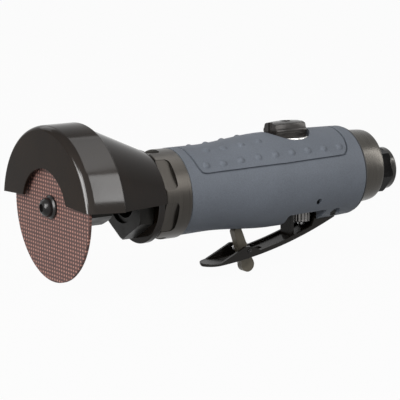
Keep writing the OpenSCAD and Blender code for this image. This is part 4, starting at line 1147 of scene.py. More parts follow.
@dataclass
class Grip:
    """Composite housing with its panel groove, nubs, bores and pockets."""

    seam_x: float = 68.6
    length: float = 109.4
    rise: float = 0.55
    tilt: float = 0.65
    front_r: float = 22.8
    waist_r: float = 22.6
    belly_r: float = 25.2
    tail_r: float = 24.0
    waist_u: float = 18.05
    belly_u: float = 57.98
    end_edge: float = 0.8
    front_edge: float = 0.35
    u_steps: int = 280
    turn_steps: int = 360
    nub_r: float = 2.1
    nub_h: float = 1.05
    nub_pitch: float = 10.382
    long_row: int = 9
    long_u: float = 12.2
    long_angle: float = 40.5
    long_step: float = 0.05
    short_row: int = 4
    short_u: float = 17.61
    short_angle: float = 67.6
    short_step: float = -0.6
    groove_w: float = 0.85
    groove_depth: float = 1.2
    groove_out: float = 0.6
    motor_r: float = 19.33
    spigot_r: float = 20.83
    spigot_len: float = 8.03
    motor_end: float = 118.6
    boss_r: float = 14.04
    boss_end: float = 127.6
    pocket_x: tuple[float, float, float] = (133.7, 130.5, 155.8)
    pocket_z: tuple[float, float] = (-16.0, -15.4)
    pocket_lip: float = -24.6
    lever_x: float = 163.3
    lever_z: float = -18.4
    lever_slot_half: float = 8.4
    lever_slot_end: float = 170.9
    lever_slot_top: float = -13.4
    lever_hole_r: float = 1.88
    lever_sink_r: float = 3.1
    lever_sink_y: float = 13.65
    lock_slot: tuple[float, float, float, float] = (105.7, 125.4, -20.6, 3.4)
    valve_x: float = 152.1
    bush_r: float = 5.03
    bush_top: float = -3.0
    valve_bore_r: float = 4.9
    chamber_top: float = 9.0
    cross_x: float = 147.8
    cross_z: float = -9.6
    cross_r: float = 1.63
    knob_x: float = 141.5
    knob_pocket_r: float = 13.2
    knob_floor: float = 21.6
    spool_r: float = 5.55
    spool_bottom: float = 11.0
    inlet_r: float = 10.03
    inlet_len: float = 6.0

    def place(self) -> Matrix:
        """Placing of the grip's own, slightly rising axis.

        Returns:
            A matrix from millimetres of the grip to metres of the frame.
        """
        a = radians(self.tilt)
        return axes(at(self.seam_x, 0, self.rise), Vector((cos(a), 0, sin(a))),
                    Vector((-sin(a), 0, cos(a))))

    def radius(self, u: float) -> float:
        """Radius of the grip at a distance behind the collar.

        Args:
            u: Distance behind the collar.

        Returns:
            The radius.
        """
        if u < self.waist_u:
            return self.front_r + (self.waist_r - self.front_r) * ease(max(u, 0) / self.waist_u)
        if u < self.belly_u:
            share = (u - self.waist_u) / (self.belly_u - self.waist_u)
            return self.waist_r + (self.belly_r - self.waist_r) * ease(share)
        share = (u - self.belly_u) / (self.length - self.belly_u)
        return self.belly_r + (self.tail_r - self.belly_r) * share ** 2

    def rise_at(self, u: float) -> float:
        """Height of the grip's own axis at a distance behind the collar."""
        return self.rise + u * tan(radians(self.tilt))

    def nubs(self) -> list[Point]:
        """Places of the nubs on one side, as distance and angle over the horizontal.

        Returns:
            Distance and angle of each nub.
        """
        long_row = [(self.long_u + i * self.nub_pitch, self.long_angle + i * self.long_step)
                    for i in range(self.long_row)]
        short_row = [(self.short_u + i * self.nub_pitch, self.short_angle + i * self.short_step)
                     for i in range(self.short_row)]
        return long_row + short_row

    def shell(self) -> Piece:
        """Outer form as a fine grid, with the nubs raised on it.

        Returns:
            The solid form.
        """
        us = [0.0, self.front_edge] + [self.length * i / self.u_steps for i in range(1, self.u_steps)]
        us += [self.length - self.end_edge, self.length]
        us = sorted(u for u in us if u <= self.length - self.end_edge or u == self.length)
        turns = np.radians(np.arange(self.turn_steps) * FULL_TURN / self.turn_steps)
        place = self.place()
        rings = []
        for u in us:
            base = self.radius(u)
            if u == 0.0:
                base -= self.front_edge
            elif u == self.length:
                base -= self.end_edge
            r = np.full(self.turn_steps, base)
            for du, angle in self.nubs():
                for middle in (radians(angle), pi - radians(angle)):
                    swing = (turns - middle + pi) % tau - pi
                    d = np.minimum(np.hypot(u - du, base * swing) / self.nub_r, 1)
                    r += self.nub_h * (1 - d ** 2)
            ring = [place @ Vector((u, float(q * cos(a)), float(q * sin(a)))) for q, a in zip(r, turns)]
            if u == 0.0:
                ring = [Vector((at(self.seam_x, 0, 0).x, p.y, p.z)) for p in ring]
            rings.append(ring)
        return skin("grip_housing", rings)

    def groove_path(self) -> list[Point]:
        """Half of the panel's edge, from the top's front to its rear, as distance and angle.

        Returns:
            Distance and angle of each point.
        """
        corners = [(5.55, 23.2), (5.86, 21.05), (6.35, 17.4), (7.13, 14.05), (8.7, 11.9), (11.05, 11.45),
                   (20.0, 11.66), (58.0, 12.56), (90.0, 13.34), (96.8, 13.5), (100.1, 16.9), (101.5, 21.1),
                   (101.9, 24.9)]
        half = []
        for u, z in corners:
            lift = (z - self.rise_at(u)) / self.radius(u)
            half.append((u, degrees(asin(max(-1.0, min(1.0, lift))))))
        half = [(half[0][0], 90.0)] + half[1:-1] + [(half[-1][0], 90.0)]
        dense: Loop = []
        for (ua, aa), (ub, ab) in zip(half, half[1:]):
            parts = max(1, int(hypot(ub - ua, (ab - aa) * 0.42) / 2.5))
            dense += [(ua + (ub - ua) * k / parts, aa + (ab - aa) * k / parts) for k in range(parts)]
        return softened_path(dense + [half[-1]], 2)

    def groove(self) -> Piece:
        """Cutter that runs round the panel on both sides.

        Returns:
            The cutter.
        """
        half = self.groove_path()
        whole = half[:-1] + [(u, 180.0 - a) for u, a in reversed(half)][:-1]
        place = self.place()
        points, normals = [], []
        for u, a in whole:
            n = Vector((0, -cos(radians(a)), sin(radians(a))))
            points.append(Vector((u, 0, 0)) + n * self.radius(u))
            normals.append(n)
        half_w, mouth = self.groove_w / 2, self.groove_w * 0.8
        section = rounded([(-half_w, -self.groove_depth, 0.25), (half_w, -self.groove_depth, 0.25),
                           (mouth, self.groove_out, 0), (-mouth, self.groove_out, 0)], 3)
        rings = []
        count = len(points)
        for i in range(count):
            run = (points[(i + 1) % count] - points[i - 1]).normalized()
            side = run.cross(normals[i]).normalized()
            rings.append([place @ (points[i] + side * s + normals[i] * h) for s, h in section])
        return skin("groove", rings, closed=True)

    def cutters(self) -> list[Piece]:
        """Bores and pockets of the housing.

        Returns:
            The cutting solids.
        """
        deep, wide = -2 * self.belly_r, 2 * self.belly_r
        x0, x1, x2 = self.pocket_x
        z0, z1 = self.pocket_z
        lock = self.lock_slot
        end = self.seam_x + self.length
        pin = crosswise(self.lever_x, self.lever_z)
        return [
            rod("spigot", self.seam_x - 1, self.seam_x + self.spigot_len, self.spigot_r, steps=SIDES),
            rod("motor", self.seam_x - 1, self.motor_end, self.motor_r, steps=SIDES),
            rod("boss", self.seam_x, self.boss_end, self.boss_r),
            slab("pocket", rounded([(x0, deep, 0), (x0, self.pocket_lip, 1.0), (x1, z0, 1.4), (x2, z1, 1.0),
                                    (x2, deep, 0)]), -wide, wide),
            slab("lever_slot", rounded([(x2 - 1, deep, 0), (x2 - 1, self.lever_slot_top, 0),
                                        (self.lever_slot_end, self.lever_slot_top, 1.2),
                                        (self.lever_slot_end, deep, 0)]),
                 -self.lever_slot_half, self.lever_slot_half),
            slab("lock_slot", [(lock[0], deep), (lock[0], lock[2]), (lock[1], lock[2]), (lock[1], deep)],
                 -lock[3], lock[3]),
            rod("lever_pin", -wide, wide, self.lever_hole_r, pin, 48),
            rod("sink_far", self.lever_sink_y, wide, self.lever_sink_r, pin, 64),
            rod("sink_near", -wide, -self.lever_sink_y, self.lever_sink_r, pin, 64),
            rod("bush", -17.0, self.bush_top, self.bush_r, upright(self.valve_x), 64),
            rod("valve", self.bush_top - 1, self.chamber_top, self.valve_bore_r, upright(self.valve_x), 64),
            rod("cross_pin", -wide, wide, self.cross_r, crosswise(self.cross_x, self.cross_z), 48),
            rod("knob", self.knob_floor, wide, self.knob_pocket_r, upright(self.knob_x), SIDES),
            rod("spool", self.spool_bottom, self.knob_floor + 1, self.spool_r, upright(self.knob_x), 64),
            rod("inlet", end - self.inlet_len, end + 3, self.inlet_r),
        ]

    def dress(self) -> None:
        """Builds the housing and gives it its grain."""
        piece = self.shell()
        join(piece, self.groove())
        cut_all(piece, self.cutters())
        shade(piece, 32, weighted=False)
        put_on(piece, COMPOSITE, Body.GRIP, "housing")


@dataclass
class Tail:
    """Exhaust ring, inlet bushing and what they hold."""

    tail_x: float = 178.0
    ring_len: float = 15.3
    start_r: float = 20.0
    end_r: float = 19.05
    ring_up: float = 1.0
    # Outer radius and thickness of the dark ring at the housing's end: partly a seal, partly painted shade.
    seal_shade_r: float = 23.6
    seal_shade_t: float = 0.65
    land: float = 1.25
    wall: float = 4.0
    cavity_r: float = 17.0
    body_r: float = 10.03
    slot_count: int = 8
    slot_w: float = 3.2
    slot_in: float = 16.1
    slot_out: float = 18.0
    hex_af: float = 22.4
    hex_turn: float = 13.0
    end_r_inlet: float = 11.5
    end_len: float = 3.3
    mouth_x: float = 208.3
    bore_r: float = 5.65
    bore_len: float = 15.0
    lip_r: float = 4.5
    lip_len: float = 1.3
    throat_r: float = 5.15
    body_x: float = 172.0
    thread_pitch: float = 1.41
    thread_h: float = 0.55

    def ring(self, grip: Grip) -> Piece:
        """Convex ring with exhaust slots in its rear face.

        Args:
            grip: The grip that carries the ring.

        Returns:
            The ring.
        """
        length, n = self.ring_len, 20
        run, rise = length - self.land, self.start_r - self.end_r
        bulge = [(self.land + run * cos(a), self.end_r + rise * sin(a))
                 for a in (radians(90 - 84 * k / n) for k in range(n + 1))]
        loop = [(0, 0), (0, self.start_r - 0.4), (0.4, self.start_r)] + bulge
        loop += [(length, self.end_r - 0.5), (length - 0.5, self.end_r - 1.5), (length - 0.5, 0)]
        shifted = [(x + grip.length, r) for x, r in loop]
        piece = lathe("rear_ring", shifted, Matrix.Translation(Z_DIR * self.ring_up * MM) @ grip.place())
        x0 = self.tail_x
        join(piece, rod("body", x0 - 2, x0 + length + 3, self.body_r))
        join(piece, rod("cavity", grip.length - 2, grip.length + length - self.wall, self.cavity_r,
                        grip.place(), SIDES))
        half = self.slot_w / 2
        for i in range(self.slot_count):
            a = radians(FULL_TURN * (i + 0.5) / self.slot_count)
            out = Vector((0, sin(a), cos(a)))
            loop = rounded([(-half, self.slot_in, 0.7), (half, self.slot_in, 0.7),
                            (half, self.slot_out, 0.7), (-half, self.slot_out, 0.7)], 4)
            join(piece, bar("vent", loop, x0 + length - self.wall - 1, x0 + length + 2,
                            axes(at(0, 0, grip.rise_at(grip.length + length) + self.ring_up), X_DIR, out)))
        soften(piece, 0.2, 2, 38)
        return shade(piece)

    def seal_and_shade(self, grip: Grip) -> Piece:
        """Thin black ring between the housing's end and the ring: partly a seal, partly painted shade.

        Args:
            grip: The grip that carries the dark ring.

        Returns:
            The dark ring.
        """
        x0, x1 = grip.length - 0.1, grip.length + self.seal_shade_t
        inner, outer = self.start_r - 1, self.seal_shade_r
        loop = rounded([(x0, inner, 0), (x0, outer, 0.1), (x1, outer, 0.2), (x1, inner, 0)])
        piece = lathe("ring_seal_and_shade", loop, grip.place())
        return shade(piece)

    def lip(self) -> Piece:
        """Round end of the inlet, lighter than its hex: partly polished metal, partly painted highlight.

        Returns:
            The round end.
        """
        x0, x1, r = self.mouth_x - self.end_len - 0.6, self.mouth_x, self.end_r_inlet
        bore = r - 2.6
        loop = rounded([(x0, r - 1.6, 0), (x0, r, 0.5), (x1, r, 1.0), (x1, bore, 0.3), (x1 - 1, bore, 0)])
        piece = lathe("inlet_end_highlight", loop, steps=128)
        return shade(piece)

    def bushing(self) -> Piece:
        """Hex and round end, with the bores through them.

        Returns:
            The bushing.
        """
        x_hex = self.tail_x + self.ring_len
        x_end, x1 = self.mouth_x - self.end_len, self.mouth_x
        big = self.hex_af / sqrt(3)
        piece = lathe("air_inlet", rounded([
            (self.body_x, 0, 0), (self.body_x, self.body_r - FIT, 0.4), (x_end - 0.6, self.body_r - FIT, 0),
            (x_end - 0.6, self.end_r_inlet - 0.4, 0.3), (x1 - 0.2, self.end_r_inlet - 0.4, 0.8),
            (x1 - 0.2, 0, 0)]), steps=128)
        nut = bar("hex", hexagon(self.hex_af, self.hex_turn), x_hex, x_end)
        join(nut, lathe("turned", [(x_hex - 1, 0), (x_hex - 0.5, big + 0.4), (x_end - 0.9, big + 0.4),
                                   (x_end + 0.1, big - 0.9), (x_end + 1, 0)], steps=96), Cut.KEEP)
        join(piece, nut, Cut.ADD)
        x_lip = x1 - self.bore_len - self.lip_len
        join(piece, rod("mouth", x1 - self.bore_len, x1 + 1, self.bore_r, steps=64))
        join(piece, rod("lip", x_lip - 1, x1 - self.bore_len + 1, self.lip_r, steps=64))
        join(piece, rod("throat", self.body_x - 1, x_lip, self.throat_r, steps=64))
        soften(piece, 0.25, 2, 28)
        return shade(piece)

    def thread(self) -> Piece:
        """Ridge that winds round inside the inlet's mouth.

        Returns:
            The ridge.
        """
        per_turn, turns = 40, int((self.bore_len - 2) / self.thread_pitch)
        x0 = self.mouth_x - 0.9
        rings = []
        for i in range(per_turn * turns + 1):
            a = tau * i / per_turn
            grow = min(1.0, i / per_turn, (per_turn * turns - i) / per_turn) * 0.95 + 0.05
            half, height = self.thread_pitch * 0.45 * grow, self.thread_h * grow
            x = x0 - self.thread_pitch * (i / per_turn + 0.6)
            ridge = ((-half, -0.04), (half, -0.04), (0.1 * half, height), (-0.1 * half, height))
            rings.append([TOOL @ Vector((x + dx, (self.bore_r - dr) * cos(a), (self.bore_r - dr) * sin(a)))
                          for dx, dr in ridge])
        piece = skin("inlet_thread", rings)
        return shade(piece, 25, weighted=False)

    def dress(self, grip: Grip) -> None:
        """Builds the tail and gives it its finishes.

        Args:
            grip: The grip that carries the tail.
        """
        put_on(self.ring(grip), RING_METAL, Body.GRIP, "exhaust_ring")
        put_on(self.bushing(), INLET_STEEL, Body.GRIP, "inlet_bushing")
        put_on(self.thread(), INLET_STEEL, Body.GRIP)
        # The inlet's round end takes a lighter copy of its steel: partly polished metal, partly painted
        # highlight.
        put_on(self.lip(), INLET_END_HIGHLIGHT, Body.GRIP)
        # The thin black ring at the housing's end is partly a seal, partly painted shade of the gap there.
        put_on(self.seal_and_shade(grip), RUBBER, Body.GRIP)
        redress(FELT, "muffler_felt")
        redress(BRASS, "inlet_screen")


@dataclass
class LeverSet:
    """Pressed squeeze lever with its lock, pins and spring."""

    pin_x: float = 163.3
    pin_z: float = -18.4
    pin_r: float = 1.85
    pin_half: float = 13.65
    bow_x: float = 77.816
    bow_z: float = 184.496
    bow_r: float = 225.849
    tip_x: float = 96.25
    half_w: float = 8.0
    sheet: float = 1.5
    wall: float = 2.6
    bend: float = 1.3
    heel_x: float = 168.7
    ear: tuple[float, float, float, float] = (18.0, 1.5, 7.6, 2.5)
    rear_ear: tuple[float, float, float, float] = (9.0, 1.8, 3.2, 1.9)
    rear_ear_r: float = 3.6
    tab_x: float = 141.9
    tab_w: float = 10.4
    tab_top: float = -18.7
    window: tuple[float, float, float] = (99.6, 125.2, 2.35)
    lock_x: float = 113.0
    lock_z: float = -34.497
    lock_pin_r: float = 1.2
    lock_t: float = 4.4
    arm_h: float = 11.8
    arm_w: float = 4.3
    arm_lean: float = 1.5
    arm_base: float = 3.0
    arm_round: float = 2.2
    hub_r: float = 2.9
    tab_drop: float = 8.6
    tab_shift: float = 2.8
    tab_r: float = 3.9
    wire_r: float = 0.35
    coil_r: float = 1.85
    coil_pitch: float = 1.12
    coil_turns: float = 2.75
    coil_leg: float = 5.5
    coil_y: float = 2.8

    def under(self, x: float) -> float:
        """Height of the lever's underside at a station."""
        return self.bow_z - sqrt(self.bow_r ** 2 - (x - self.bow_x) ** 2)

    def wall_top(self, x: float) -> float:
        """Height of the side walls at a station: lock ear, low wall and rear ear.

        Args:
            x: Station on the lever.

        Returns:
            Height of the wall's top edge.
        """
        low = self.under(x)
        ahead, flat, behind, over = self.ear
        ear0, ear1, peak = self.lock_x - ahead, self.lock_x + behind, self.lock_z + over
        if x <= ear0:
            return low + self.sheet
        if x < self.lock_x - flat:
            share = (x - ear0) / (ahead - flat)
            return self.under(ear0) + self.sheet + share * (peak - self.under(ear0) - self.sheet)
        if x < self.lock_x + flat:
            return peak
        if x < ear1:
            share = (x - self.lock_x - flat) / (behind - flat)
            return peak + share * (self.under(ear1) + self.wall - peak)
        run, front, back, fall = self.rear_ear
        if x <= self.pin_x - run:
            return low + self.wall
        r, d = self.rear_ear_r, x - self.pin_x
        if -front <= d < back:
            return self.pin_z + sqrt(r * r - d * d)
        if d < -front:
            start = self.under(self.pin_x - run) + self.wall
            share = (d + run) / (run - front)
            return max(low + self.sheet, start + share * (self.pin_z + sqrt(r * r - front ** 2) - start))
        return max(low + self.sheet, self.pin_z + sqrt(r * r - back ** 2) - (d - back) * fall)

    def section(self, w: float, h: float) -> Loop:
        """Section of the channel by its half width and wall height.

        Args:
            w: Half width.
            h: Height of the walls.

        Returns:
            Side and height of each point.
        """
        t = min(self.sheet, 0.55 * w)
        b = min(self.bend, h, 0.9 * w)
        inner = max(b - t, 0.05)
        n = 5
        right = arc(w - b, b, b, -90, 0, n) + [(w, max(h, b + 0.01))]
        back = [(w - t, max(h, b + 0.01))]
        back += [(w - b + inner * cos(a), max(b, t + inner) - inner * sin(a))
                 for a in (radians(90 * k / n) for k in range(n + 1))]
        half = right + back
        return half + [(-y, z) for y, z in reversed(half)]

    def lever(self) -> Piece:
        """Sweeps the channel along the bow, and adds tab, window and pin holes.

        Returns:
            The lever.
        """
        steps = [self.tip_x - self.half_w * cos(radians(a)) for a in range(7, 90, 4)]
        count = 110
        steps += [self.tip_x + (self.heel_x - self.tip_x) * i / count for i in range(count + 1)]
        rings = []
        for x in steps:
            ahead = self.tip_x - x
            w = sqrt(self.half_w ** 2 - ahead ** 2) if ahead > 0 else self.half_w
            lean = asin((x - self.bow_x) / self.bow_r)
            up = Vector((-sin(lean), 0, cos(lean)))
            base = Vector((x, 0, self.under(x)))
            h = (self.wall_top(x) - self.under(x)) / cos(lean)
            rings.append([TOOL @ (base + Vector((0, y, 0)) + up * z)
                          for y, z in self.section(w, max(h, self.sheet))])
        piece = skin("squeeze_lever", rings)
        tab_low, front, rear = self.under(self.tab_x) + 0.4, self.tab_x, self.tab_x + self.sheet
        tab = rounded([(front, tab_low, 0), (front, self.tab_top, 0.4), (rear, self.tab_top, 0.4),
                       (rear, tab_low, 0)])
        join(piece, slab("tab", tab, -self.tab_w / 2, self.tab_w / 2), Cut.ADD)
        x0, x1, half = self.window
        hole = rounded([(x0, -half, 1.5), (x1, -half, 1.5), (x1, half, 1.5), (x0, half, 1.5)])
        window = skin("window", [[TOOL @ Vector((x, y, z)) for x, y in hole] for z in (-60.0, -20.0)])
        join(piece, window)
        for x, z, r in ((self.pin_x, self.pin_z, self.pin_r + PLAY),
                        (self.lock_x, self.lock_z, self.lock_pin_r + FIT)):
            join(piece, rod("pin", -12, 12, r, crosswise(x, z), 48))
        soften(piece, 0.22, 2, 40)
        return shade(piece, 38)

    def lock(self) -> Piece:
        """Upright arm, hub and round finger tab in one plate.

        Returns:
            The lock.
        """
        x, z = self.lock_x, self.lock_z
        top, tab_z, tab_x = z + self.arm_h, z - self.tab_drop, x + self.tab_shift
        rear, r = x - self.arm_lean, self.arm_round
        loop = [(rear, top)] + arc(rear - self.arm_w + r, top - r, r, 90, 180, 8) + [(x - self.arm_base, z)]
        loop += arc(tab_x, tab_z, self.tab_r, 172, 385, 24) + arc(x, z, self.hub_r, -10, 22, 5)
        piece = slab("lock_plate", loop, -self.lock_t / 2, self.lock_t / 2)
        join(piece, rod("hole", -5, 5, self.lock_pin_r + PLAY, crosswise(x, z), 48))
        soften(piece, 0.45, 3, 40)
        return shade(piece)

    def pin(self, name: str, x: float, z: float, r: float, half: float, dish: float) -> Piece:
        """Pin with rounded ends and a small dish in each.

        Args:
            name: Name of the piece.
            x: Station of the pin.
            z: Height of the pin.
            r: Its radius.
            half: Half of its length.
            dish: Radius of the dishes.

        Returns:
            The pin.
        """
        land = dish + 0.25
        loop = rounded([(-half, 0, 0), (-half + 0.3, dish, 0.1), (-half, land, 0.1), (-half, r, 0.35),
                        (half, r, 0.35), (half, land, 0.1), (half - 0.3, dish, 0.1), (half, 0, 0)], 3)
        loop = [(a if b > 0 else copysign(half - 0.3, a), b) for a, b in loop]
        piece = lathe(name, loop, crosswise(x, z), 48)
        return shade(piece)

    def spring(self) -> Piece:
        """Torsion spring beside the lock.

        Returns:
            The spring.
        """
        r, turns, n = self.coil_r, self.coil_turns, 24
        y1 = self.coil_y + self.coil_pitch * turns
        path = [Vector((self.coil_leg * (1 - k / 6), self.coil_y, r)) for k in range(6)]
        for i in range(int(n * turns) + 1):
            a = radians(90 + FULL_TURN * i / n)
            path.append(Vector((r * cos(a), self.coil_y + self.coil_pitch * i / n, r * sin(a))))
        a1 = radians(90 + FULL_TURN * turns)
        for k in range(1, 7):
            run = self.coil_leg * k / 6
            path.append(Vector((r * cos(a1) - run * sin(a1), y1, r * sin(a1) + run * cos(a1))))
        shift = Vector((self.lock_x, 0, self.lock_z))
        piece = wire("lock_coil", [p + shift for p in path], self.wire_r, Y_DIR)
        return shade(piece, 60, weighted=False)

    def dress(self) -> None:
        """Builds lever, lock, pins and spring."""
        put_on(self.lever(), LEVER_PAINT, Body.LEVER, "throttle_lever")
        put_on(self.lock(), LOCK_ZINC, Body.LOCK, "lock_lever")
        put_on(self.pin("lever_axle", self.pin_x, self.pin_z, self.pin_r, self.pin_half, 0.8), SCREW_STEEL,
               Body.GRIP, "lever_pin")
        put_on(self.pin("lock_axle", self.lock_x, self.lock_z, self.lock_pin_r, 8.5, 0.4), SCREW_STEEL,
               Body.LEVER, "lock_pin")
        put_on(self.spring(), GROUND, Body.LEVER, "lock_spring")


@dataclass
class ValveSet:
    """Throttle valve in the grip over the lever."""

    x: float = 152.1
    head_r: float = 5.5
    head_h: float = 7.8
    ceiling: float = -16.0
    body_r: float = 5.0
    top: float = -3.0
    bore_r: float = 2.25
    flutes: int = 14
    flute_depth: float = 0.55
    flute_steps: int = 16
    cross_x: float = 147.8
    cross_z: float = -9.6
    cross_r: float = 1.63

    def bush(self) -> Piece:
        """Bush with a fluted head.

        Returns:
            The bush.
        """
        low = self.ceiling - self.head_h
        steps = self.flutes * self.flute_steps
        head = []
        for z, inset in ((low, 0.5), (low + 0.5, 0.0), (self.ceiling - 1.2, 0.0), (self.ceiling, 0.0)):
            ring = []
            for i in range(steps):
                a = tau * i / steps
                wave = abs(sin(self.flutes * a / 2)) ** 0.7
                deep = self.flute_depth * (1 - wave) if z < self.ceiling else 0.0
                r = self.head_r - inset - deep
                ring.append(at(self.x, 0, z) + Vector((r * cos(a), r * sin(a), 0)) * MM)
            head.append(ring)
        piece = skin("fluted_bush", head)
        join(piece, rod("body", self.ceiling - 0.5, self.top, self.body_r, upright(self.x), 96), Cut.ADD)
        join(piece, rod("bore", low - 1, self.top + 1, self.bore_r, upright(self.x), 64))
        join(piece, rod("pin", -8, 8, self.cross_r, crosswise(self.cross_x, self.cross_z), 48))
        return shade(piece, 30)

    def dress(self) -> None:
        """Builds the bush and gives the other valve pieces their finishes."""
        put_on(self.bush(), BUSH_METAL, Body.GRIP, "valve_bush")
        redress(GROUND, "valve_plunger", "valve_spring")
        redress(RUBBER, "bush_seal", "spool_seal")
        redress(BRASS, "valve_poppet", "regulator_spool")
        redress(INLET_STEEL, "valve_cross_pin")


@dataclass
class Regulator:
    """Regulator knob: a bowed bar with rolled sides on a polished round base."""

    x: float = 141.5
    base_z: float = 21.75
    base_t: float = 1.9
    base_r: float = 12.9
    top_z: float = 31.6
    half_len: float = 9.7
    half_w: float = 6.7
    screw_hole_r: float = 2.73
    screw_floor: float = 27.7
    shank_r: float = 1.53
    notch_r: float = 1.5

    def section(self, share: float) -> Loop:
        """Section of the bar at a share of its half length, as side and height points.

        Args:
            share: Share of the half length, from -1 to 1.

        Returns:
            Side and height of each point.
        """
        bow = 1 - 0.1 * share * share
        w = self.half_w * bow
        low = self.base_z + 0.2
        crown = self.top_z - 0.5 * share * share
        half = [(0.0, low), (w * 0.93, low), (w * 0.93, low + 2.6)]
        half += arc(w * 0.93 - 1.3, low + 4.7, 1.9, -50, 52, 8)
        half += [(w * 0.86, crown - 1.7), (w * 0.76, crown - 0.8), (w * 0.5, crown - 0.25), (0.0, crown)]
        return half[:-1] + [(-y, z) for y, z in reversed(half)][:-1]

    def knob(self) -> Piece:
        """Bar on its base, with notched ends and the screw's seat.

        Returns:
            The bar.
        """
        rings = []
        count = 36
        for i in range(count + 1):
            share = -1 + 2 * i / count
            rings.append([at(self.x + share * self.half_len, y, z) for y, z in self.section(share)])
        piece = skin("regulator_bar", rings)
        for side in (-1, 1):
            join(piece, rod("notch", self.base_z + self.base_t, self.top_z + 2, self.notch_r,
                            upright(self.x + side * self.half_len), 48))
        join(piece, rod("seat", self.screw_floor, self.top_z + 2, self.screw_hole_r, upright(self.x), 64))
        join(piece, rod("shank", self.base_z - 2, self.top_z, self.shank_r, upright(self.x), 48))
        soften(piece, 0.3, 3, 32)
        return shade(piece, 40)

    def base(self) -> Piece:
        """Round base under the bar.

        Returns:
            The base.
        """
        z0, z1 = self.base_z, self.base_z + self.base_t
        loop = rounded([(z0, self.shank_r, 0), (z0, self.base_r, 0.2), (z1, self.base_r, 0.7),
                        (z1, self.shank_r, 0)])
        piece = lathe("regulator_base", loop, upright(self.x))
        return shade(piece)

    def dress(self) -> None:
        """Builds the knob and its base."""
        base = self.base()
        put_on(self.knob(), KNOB_METAL, Body.KNOB, "regulator_knob")
        put_on(base, BASE_METAL, Body.KNOB)
        redress(SCREW_STEEL, "knob_screw")


@dataclass
class InnerWorks:
    """Motor, bearings and pins inside the grip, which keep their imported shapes."""

    def dress(self) -> None:
        """Gives the inner pieces their finishes."""
        redress(GROUND, "rotor", "motor_cylinder", "front_end_plate", "rear_end_plate", "cylinder_pin")
        redress(BEARING, "front_bearing_outer", "front_bearing_inner", "front_bearing_balls",
                "rear_bearing_outer", "rear_bearing_inner", "rear_bearing_balls")
        redress(BRASS, "front_bearing_cage", "rear_bearing_cage")
        redress(VANE, "rotor_vanes")


@dataclass
class Softbox:
    """One soft lamp aimed at the tool, or a white card that only shows in its gloss."""

    name: str
    place: tuple[float, float, float]
    width: float
    height: float
    watts: float
    turn: float = 0.0
    card: bool = False

    def hang(self, target: Vector) -> None:
        """Hangs the lamp and turns it to the target.

        Args:
            target: Point that the lamp faces.
        """
        data = bpy.data.lights.new(self.name, "AREA")
        data.shape = "RECTANGLE"
        data.size, data.size_y = self.width, self.height
        data.energy = self.watts
        lamp = bpy.data.objects.new(self.name, data)
        lamp.location = Vector(self.place)
        aim = (target - lamp.location).to_track_quat("-Z", "Y")
        lamp.rotation_euler = (aim @ Quaternion((0, 0, 1), radians(self.turn))).to_euler()
        lamp.visible_diffuse = not self.card
        bpy.context.scene.collection.objects.link(lamp)


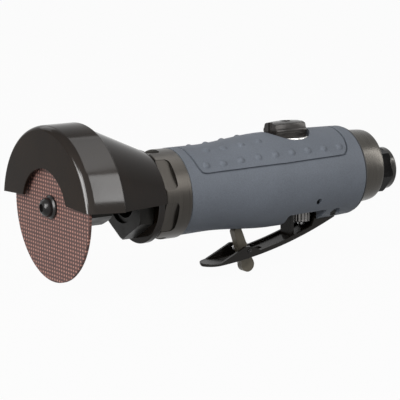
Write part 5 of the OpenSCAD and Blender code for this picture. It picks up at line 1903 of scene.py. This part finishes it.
@dataclass
class Studio:
    """Pale floor, white surround, soft lamps and the camera."""

    floor_half: float = 3.0
    floor_gap: float = 0.0005
    floor_tone: float = 0.3
    floor_glow: float = 0.96
    ambient: float = 0.07
    azimuth: float = -32.47
    elevation: float = 10.067
    roll: float = -0.616
    distance: float = 1.01243
    lens: float = 175.06
    sensor: float = 36.0
    aim_x: float = 90.0
    aim_right: float = -2.1156
    aim_up: float = -5.8599
    clip: tuple[float, float] = (0.05, 20.0)

    def floor(self) -> None:
        """Lays the floor under the tool's lowest point."""
        low = CAD_BOX[0][2] - self.floor_gap
        s = self.floor_half
        corners = ((-s, -s), (s, -s), (s, s), (-s, s))
        plane = solid("floor", [Vector((x, y, low)) for x, y in corners], [(0, 1, 2, 3)])
        shader = Shader("pale_floor")
        shader.set(Base_Color=(self.floor_tone,) * 3 + (1.0,), Roughness=0.9)
        path = shader.node("ShaderNodeLightPath")
        seen = path.outputs["Is Camera Ray"]
        for name in ("Is Glossy Ray", "Is Transmission Ray"):
            seen = shader.math("MAXIMUM", seen, path.outputs[name])
        glow = shader.node("ShaderNodeEmission")
        mix = shader.node("ShaderNodeMixShader")
        shader.link(shader.math("MULTIPLY", seen, self.floor_glow), mix.inputs["Fac"])
        shader.link(shader.surface.outputs["BSDF"], mix.inputs[1])
        shader.link(glow.outputs["Emission"], mix.inputs[2])
        shader.link(mix.outputs["Shader"], shader.tree.nodes["Material Output"].inputs["Surface"])
        plane.data.materials.append(shader.material)

    def surround(self) -> None:
        """White world, with a plain level of light from it."""
        world = bpy.data.worlds.new("white_surround")
        bpy.context.scene.world = world
        world.use_nodes = True
        tree = world.node_tree
        back = tree.nodes["Background"]
        back.inputs["Color"].default_value = (1.0, 1.0, 1.0, 1.0)
        path = tree.nodes.new("ShaderNodeLightPath")
        most = path.outputs["Is Camera Ray"]
        for name in ("Is Glossy Ray", "Is Transmission Ray"):
            either = tree.nodes.new("ShaderNodeMath")
            either.operation = "MAXIMUM"
            tree.links.new(most, either.inputs[0])
            tree.links.new(path.outputs[name], either.inputs[1])
            most = either.outputs[0]
        level = tree.nodes.new("ShaderNodeMapRange")
        level.inputs["To Min"].default_value = self.ambient
        level.inputs["To Max"].default_value = 1.0
        tree.links.new(most, level.inputs["Value"])
        tree.links.new(level.outputs["Result"], back.inputs["Strength"])

    def lamps(self) -> None:
        """Hangs the soft lamps."""
        target = at(self.aim_x, 0, 0)
        for box in (Softbox("key", (-1.08, -0.72, 0.65), 0.46, 0.9, 12.0),
                    Softbox("front", (-1.22, -0.22, 0.3), 0.34, 0.75, 6.0),
                    Softbox("near_side", (0.27, -0.69, 0.47), 0.16, 0.55, 2.3, -17.0),
                    Softbox("front_card", (-1.26, -0.2, 0.32), 0.75, 0.9, 20.0, card=True),
                    Softbox("right_card", (0.65, -0.45, 0.33), 0.16, 0.6, 3.2, card=True),
                    Softbox("top_card", (0.21, -0.05, 0.77), 0.9, 0.2, 2.0, card=True),
                    Softbox("far_rim", (-0.2, 1.0, 0.7), 0.8, 0.4, 1.5)):
            box.hang(target)

    def camera(self) -> None:
        """Sets the camera at the photograph's angle."""
        phi, e, roll = (radians(a) for a in (self.azimuth, self.elevation, self.roll))
        back = Vector((sin(phi) * cos(e), -cos(phi) * cos(e), sin(e)))
        right = Vector((cos(phi), sin(phi), 0))
        up = back.cross(right)
        right, up = cos(roll) * right + sin(roll) * up, cos(roll) * up - sin(roll) * right
        target = at(self.aim_x, 0, 0) + (right * self.aim_right + up * self.aim_up) * MM
        data = bpy.data.cameras.new("camera")
        data.lens, data.sensor_width = self.lens, self.sensor
        data.clip_start, data.clip_end = self.clip
        camera = bpy.data.objects.new("camera", data)
        camera.matrix_world = Matrix.Translation(target + back * self.distance) @ Matrix(
            (right, up, back)).transposed().to_4x4()
        bpy.context.scene.collection.objects.link(camera)
        bpy.context.scene.camera = camera

    def set_up(self) -> None:
        """Builds floor, surround, lamps and camera."""
        bpy.context.scene.view_settings.view_transform = "Standard"
        self.floor()
        self.surround()
        self.lamps()
        self.camera()


def main() -> None:
    """Builds the studio and every sub-assembly in order."""
    logging.basicConfig(level=logging.INFO, format="%(name)s %(message)s")
    Studio().set_up()
    grip = Grip()
    WheelSet().dress()
    HoodGuard().dress()
    Nose().dress()
    grip.dress()
    Tail().dress(grip)
    LeverSet().dress()
    ValveSet().dress()
    Regulator().dress()
    InnerWorks().dress()


if __name__ == "__main__":
    main()
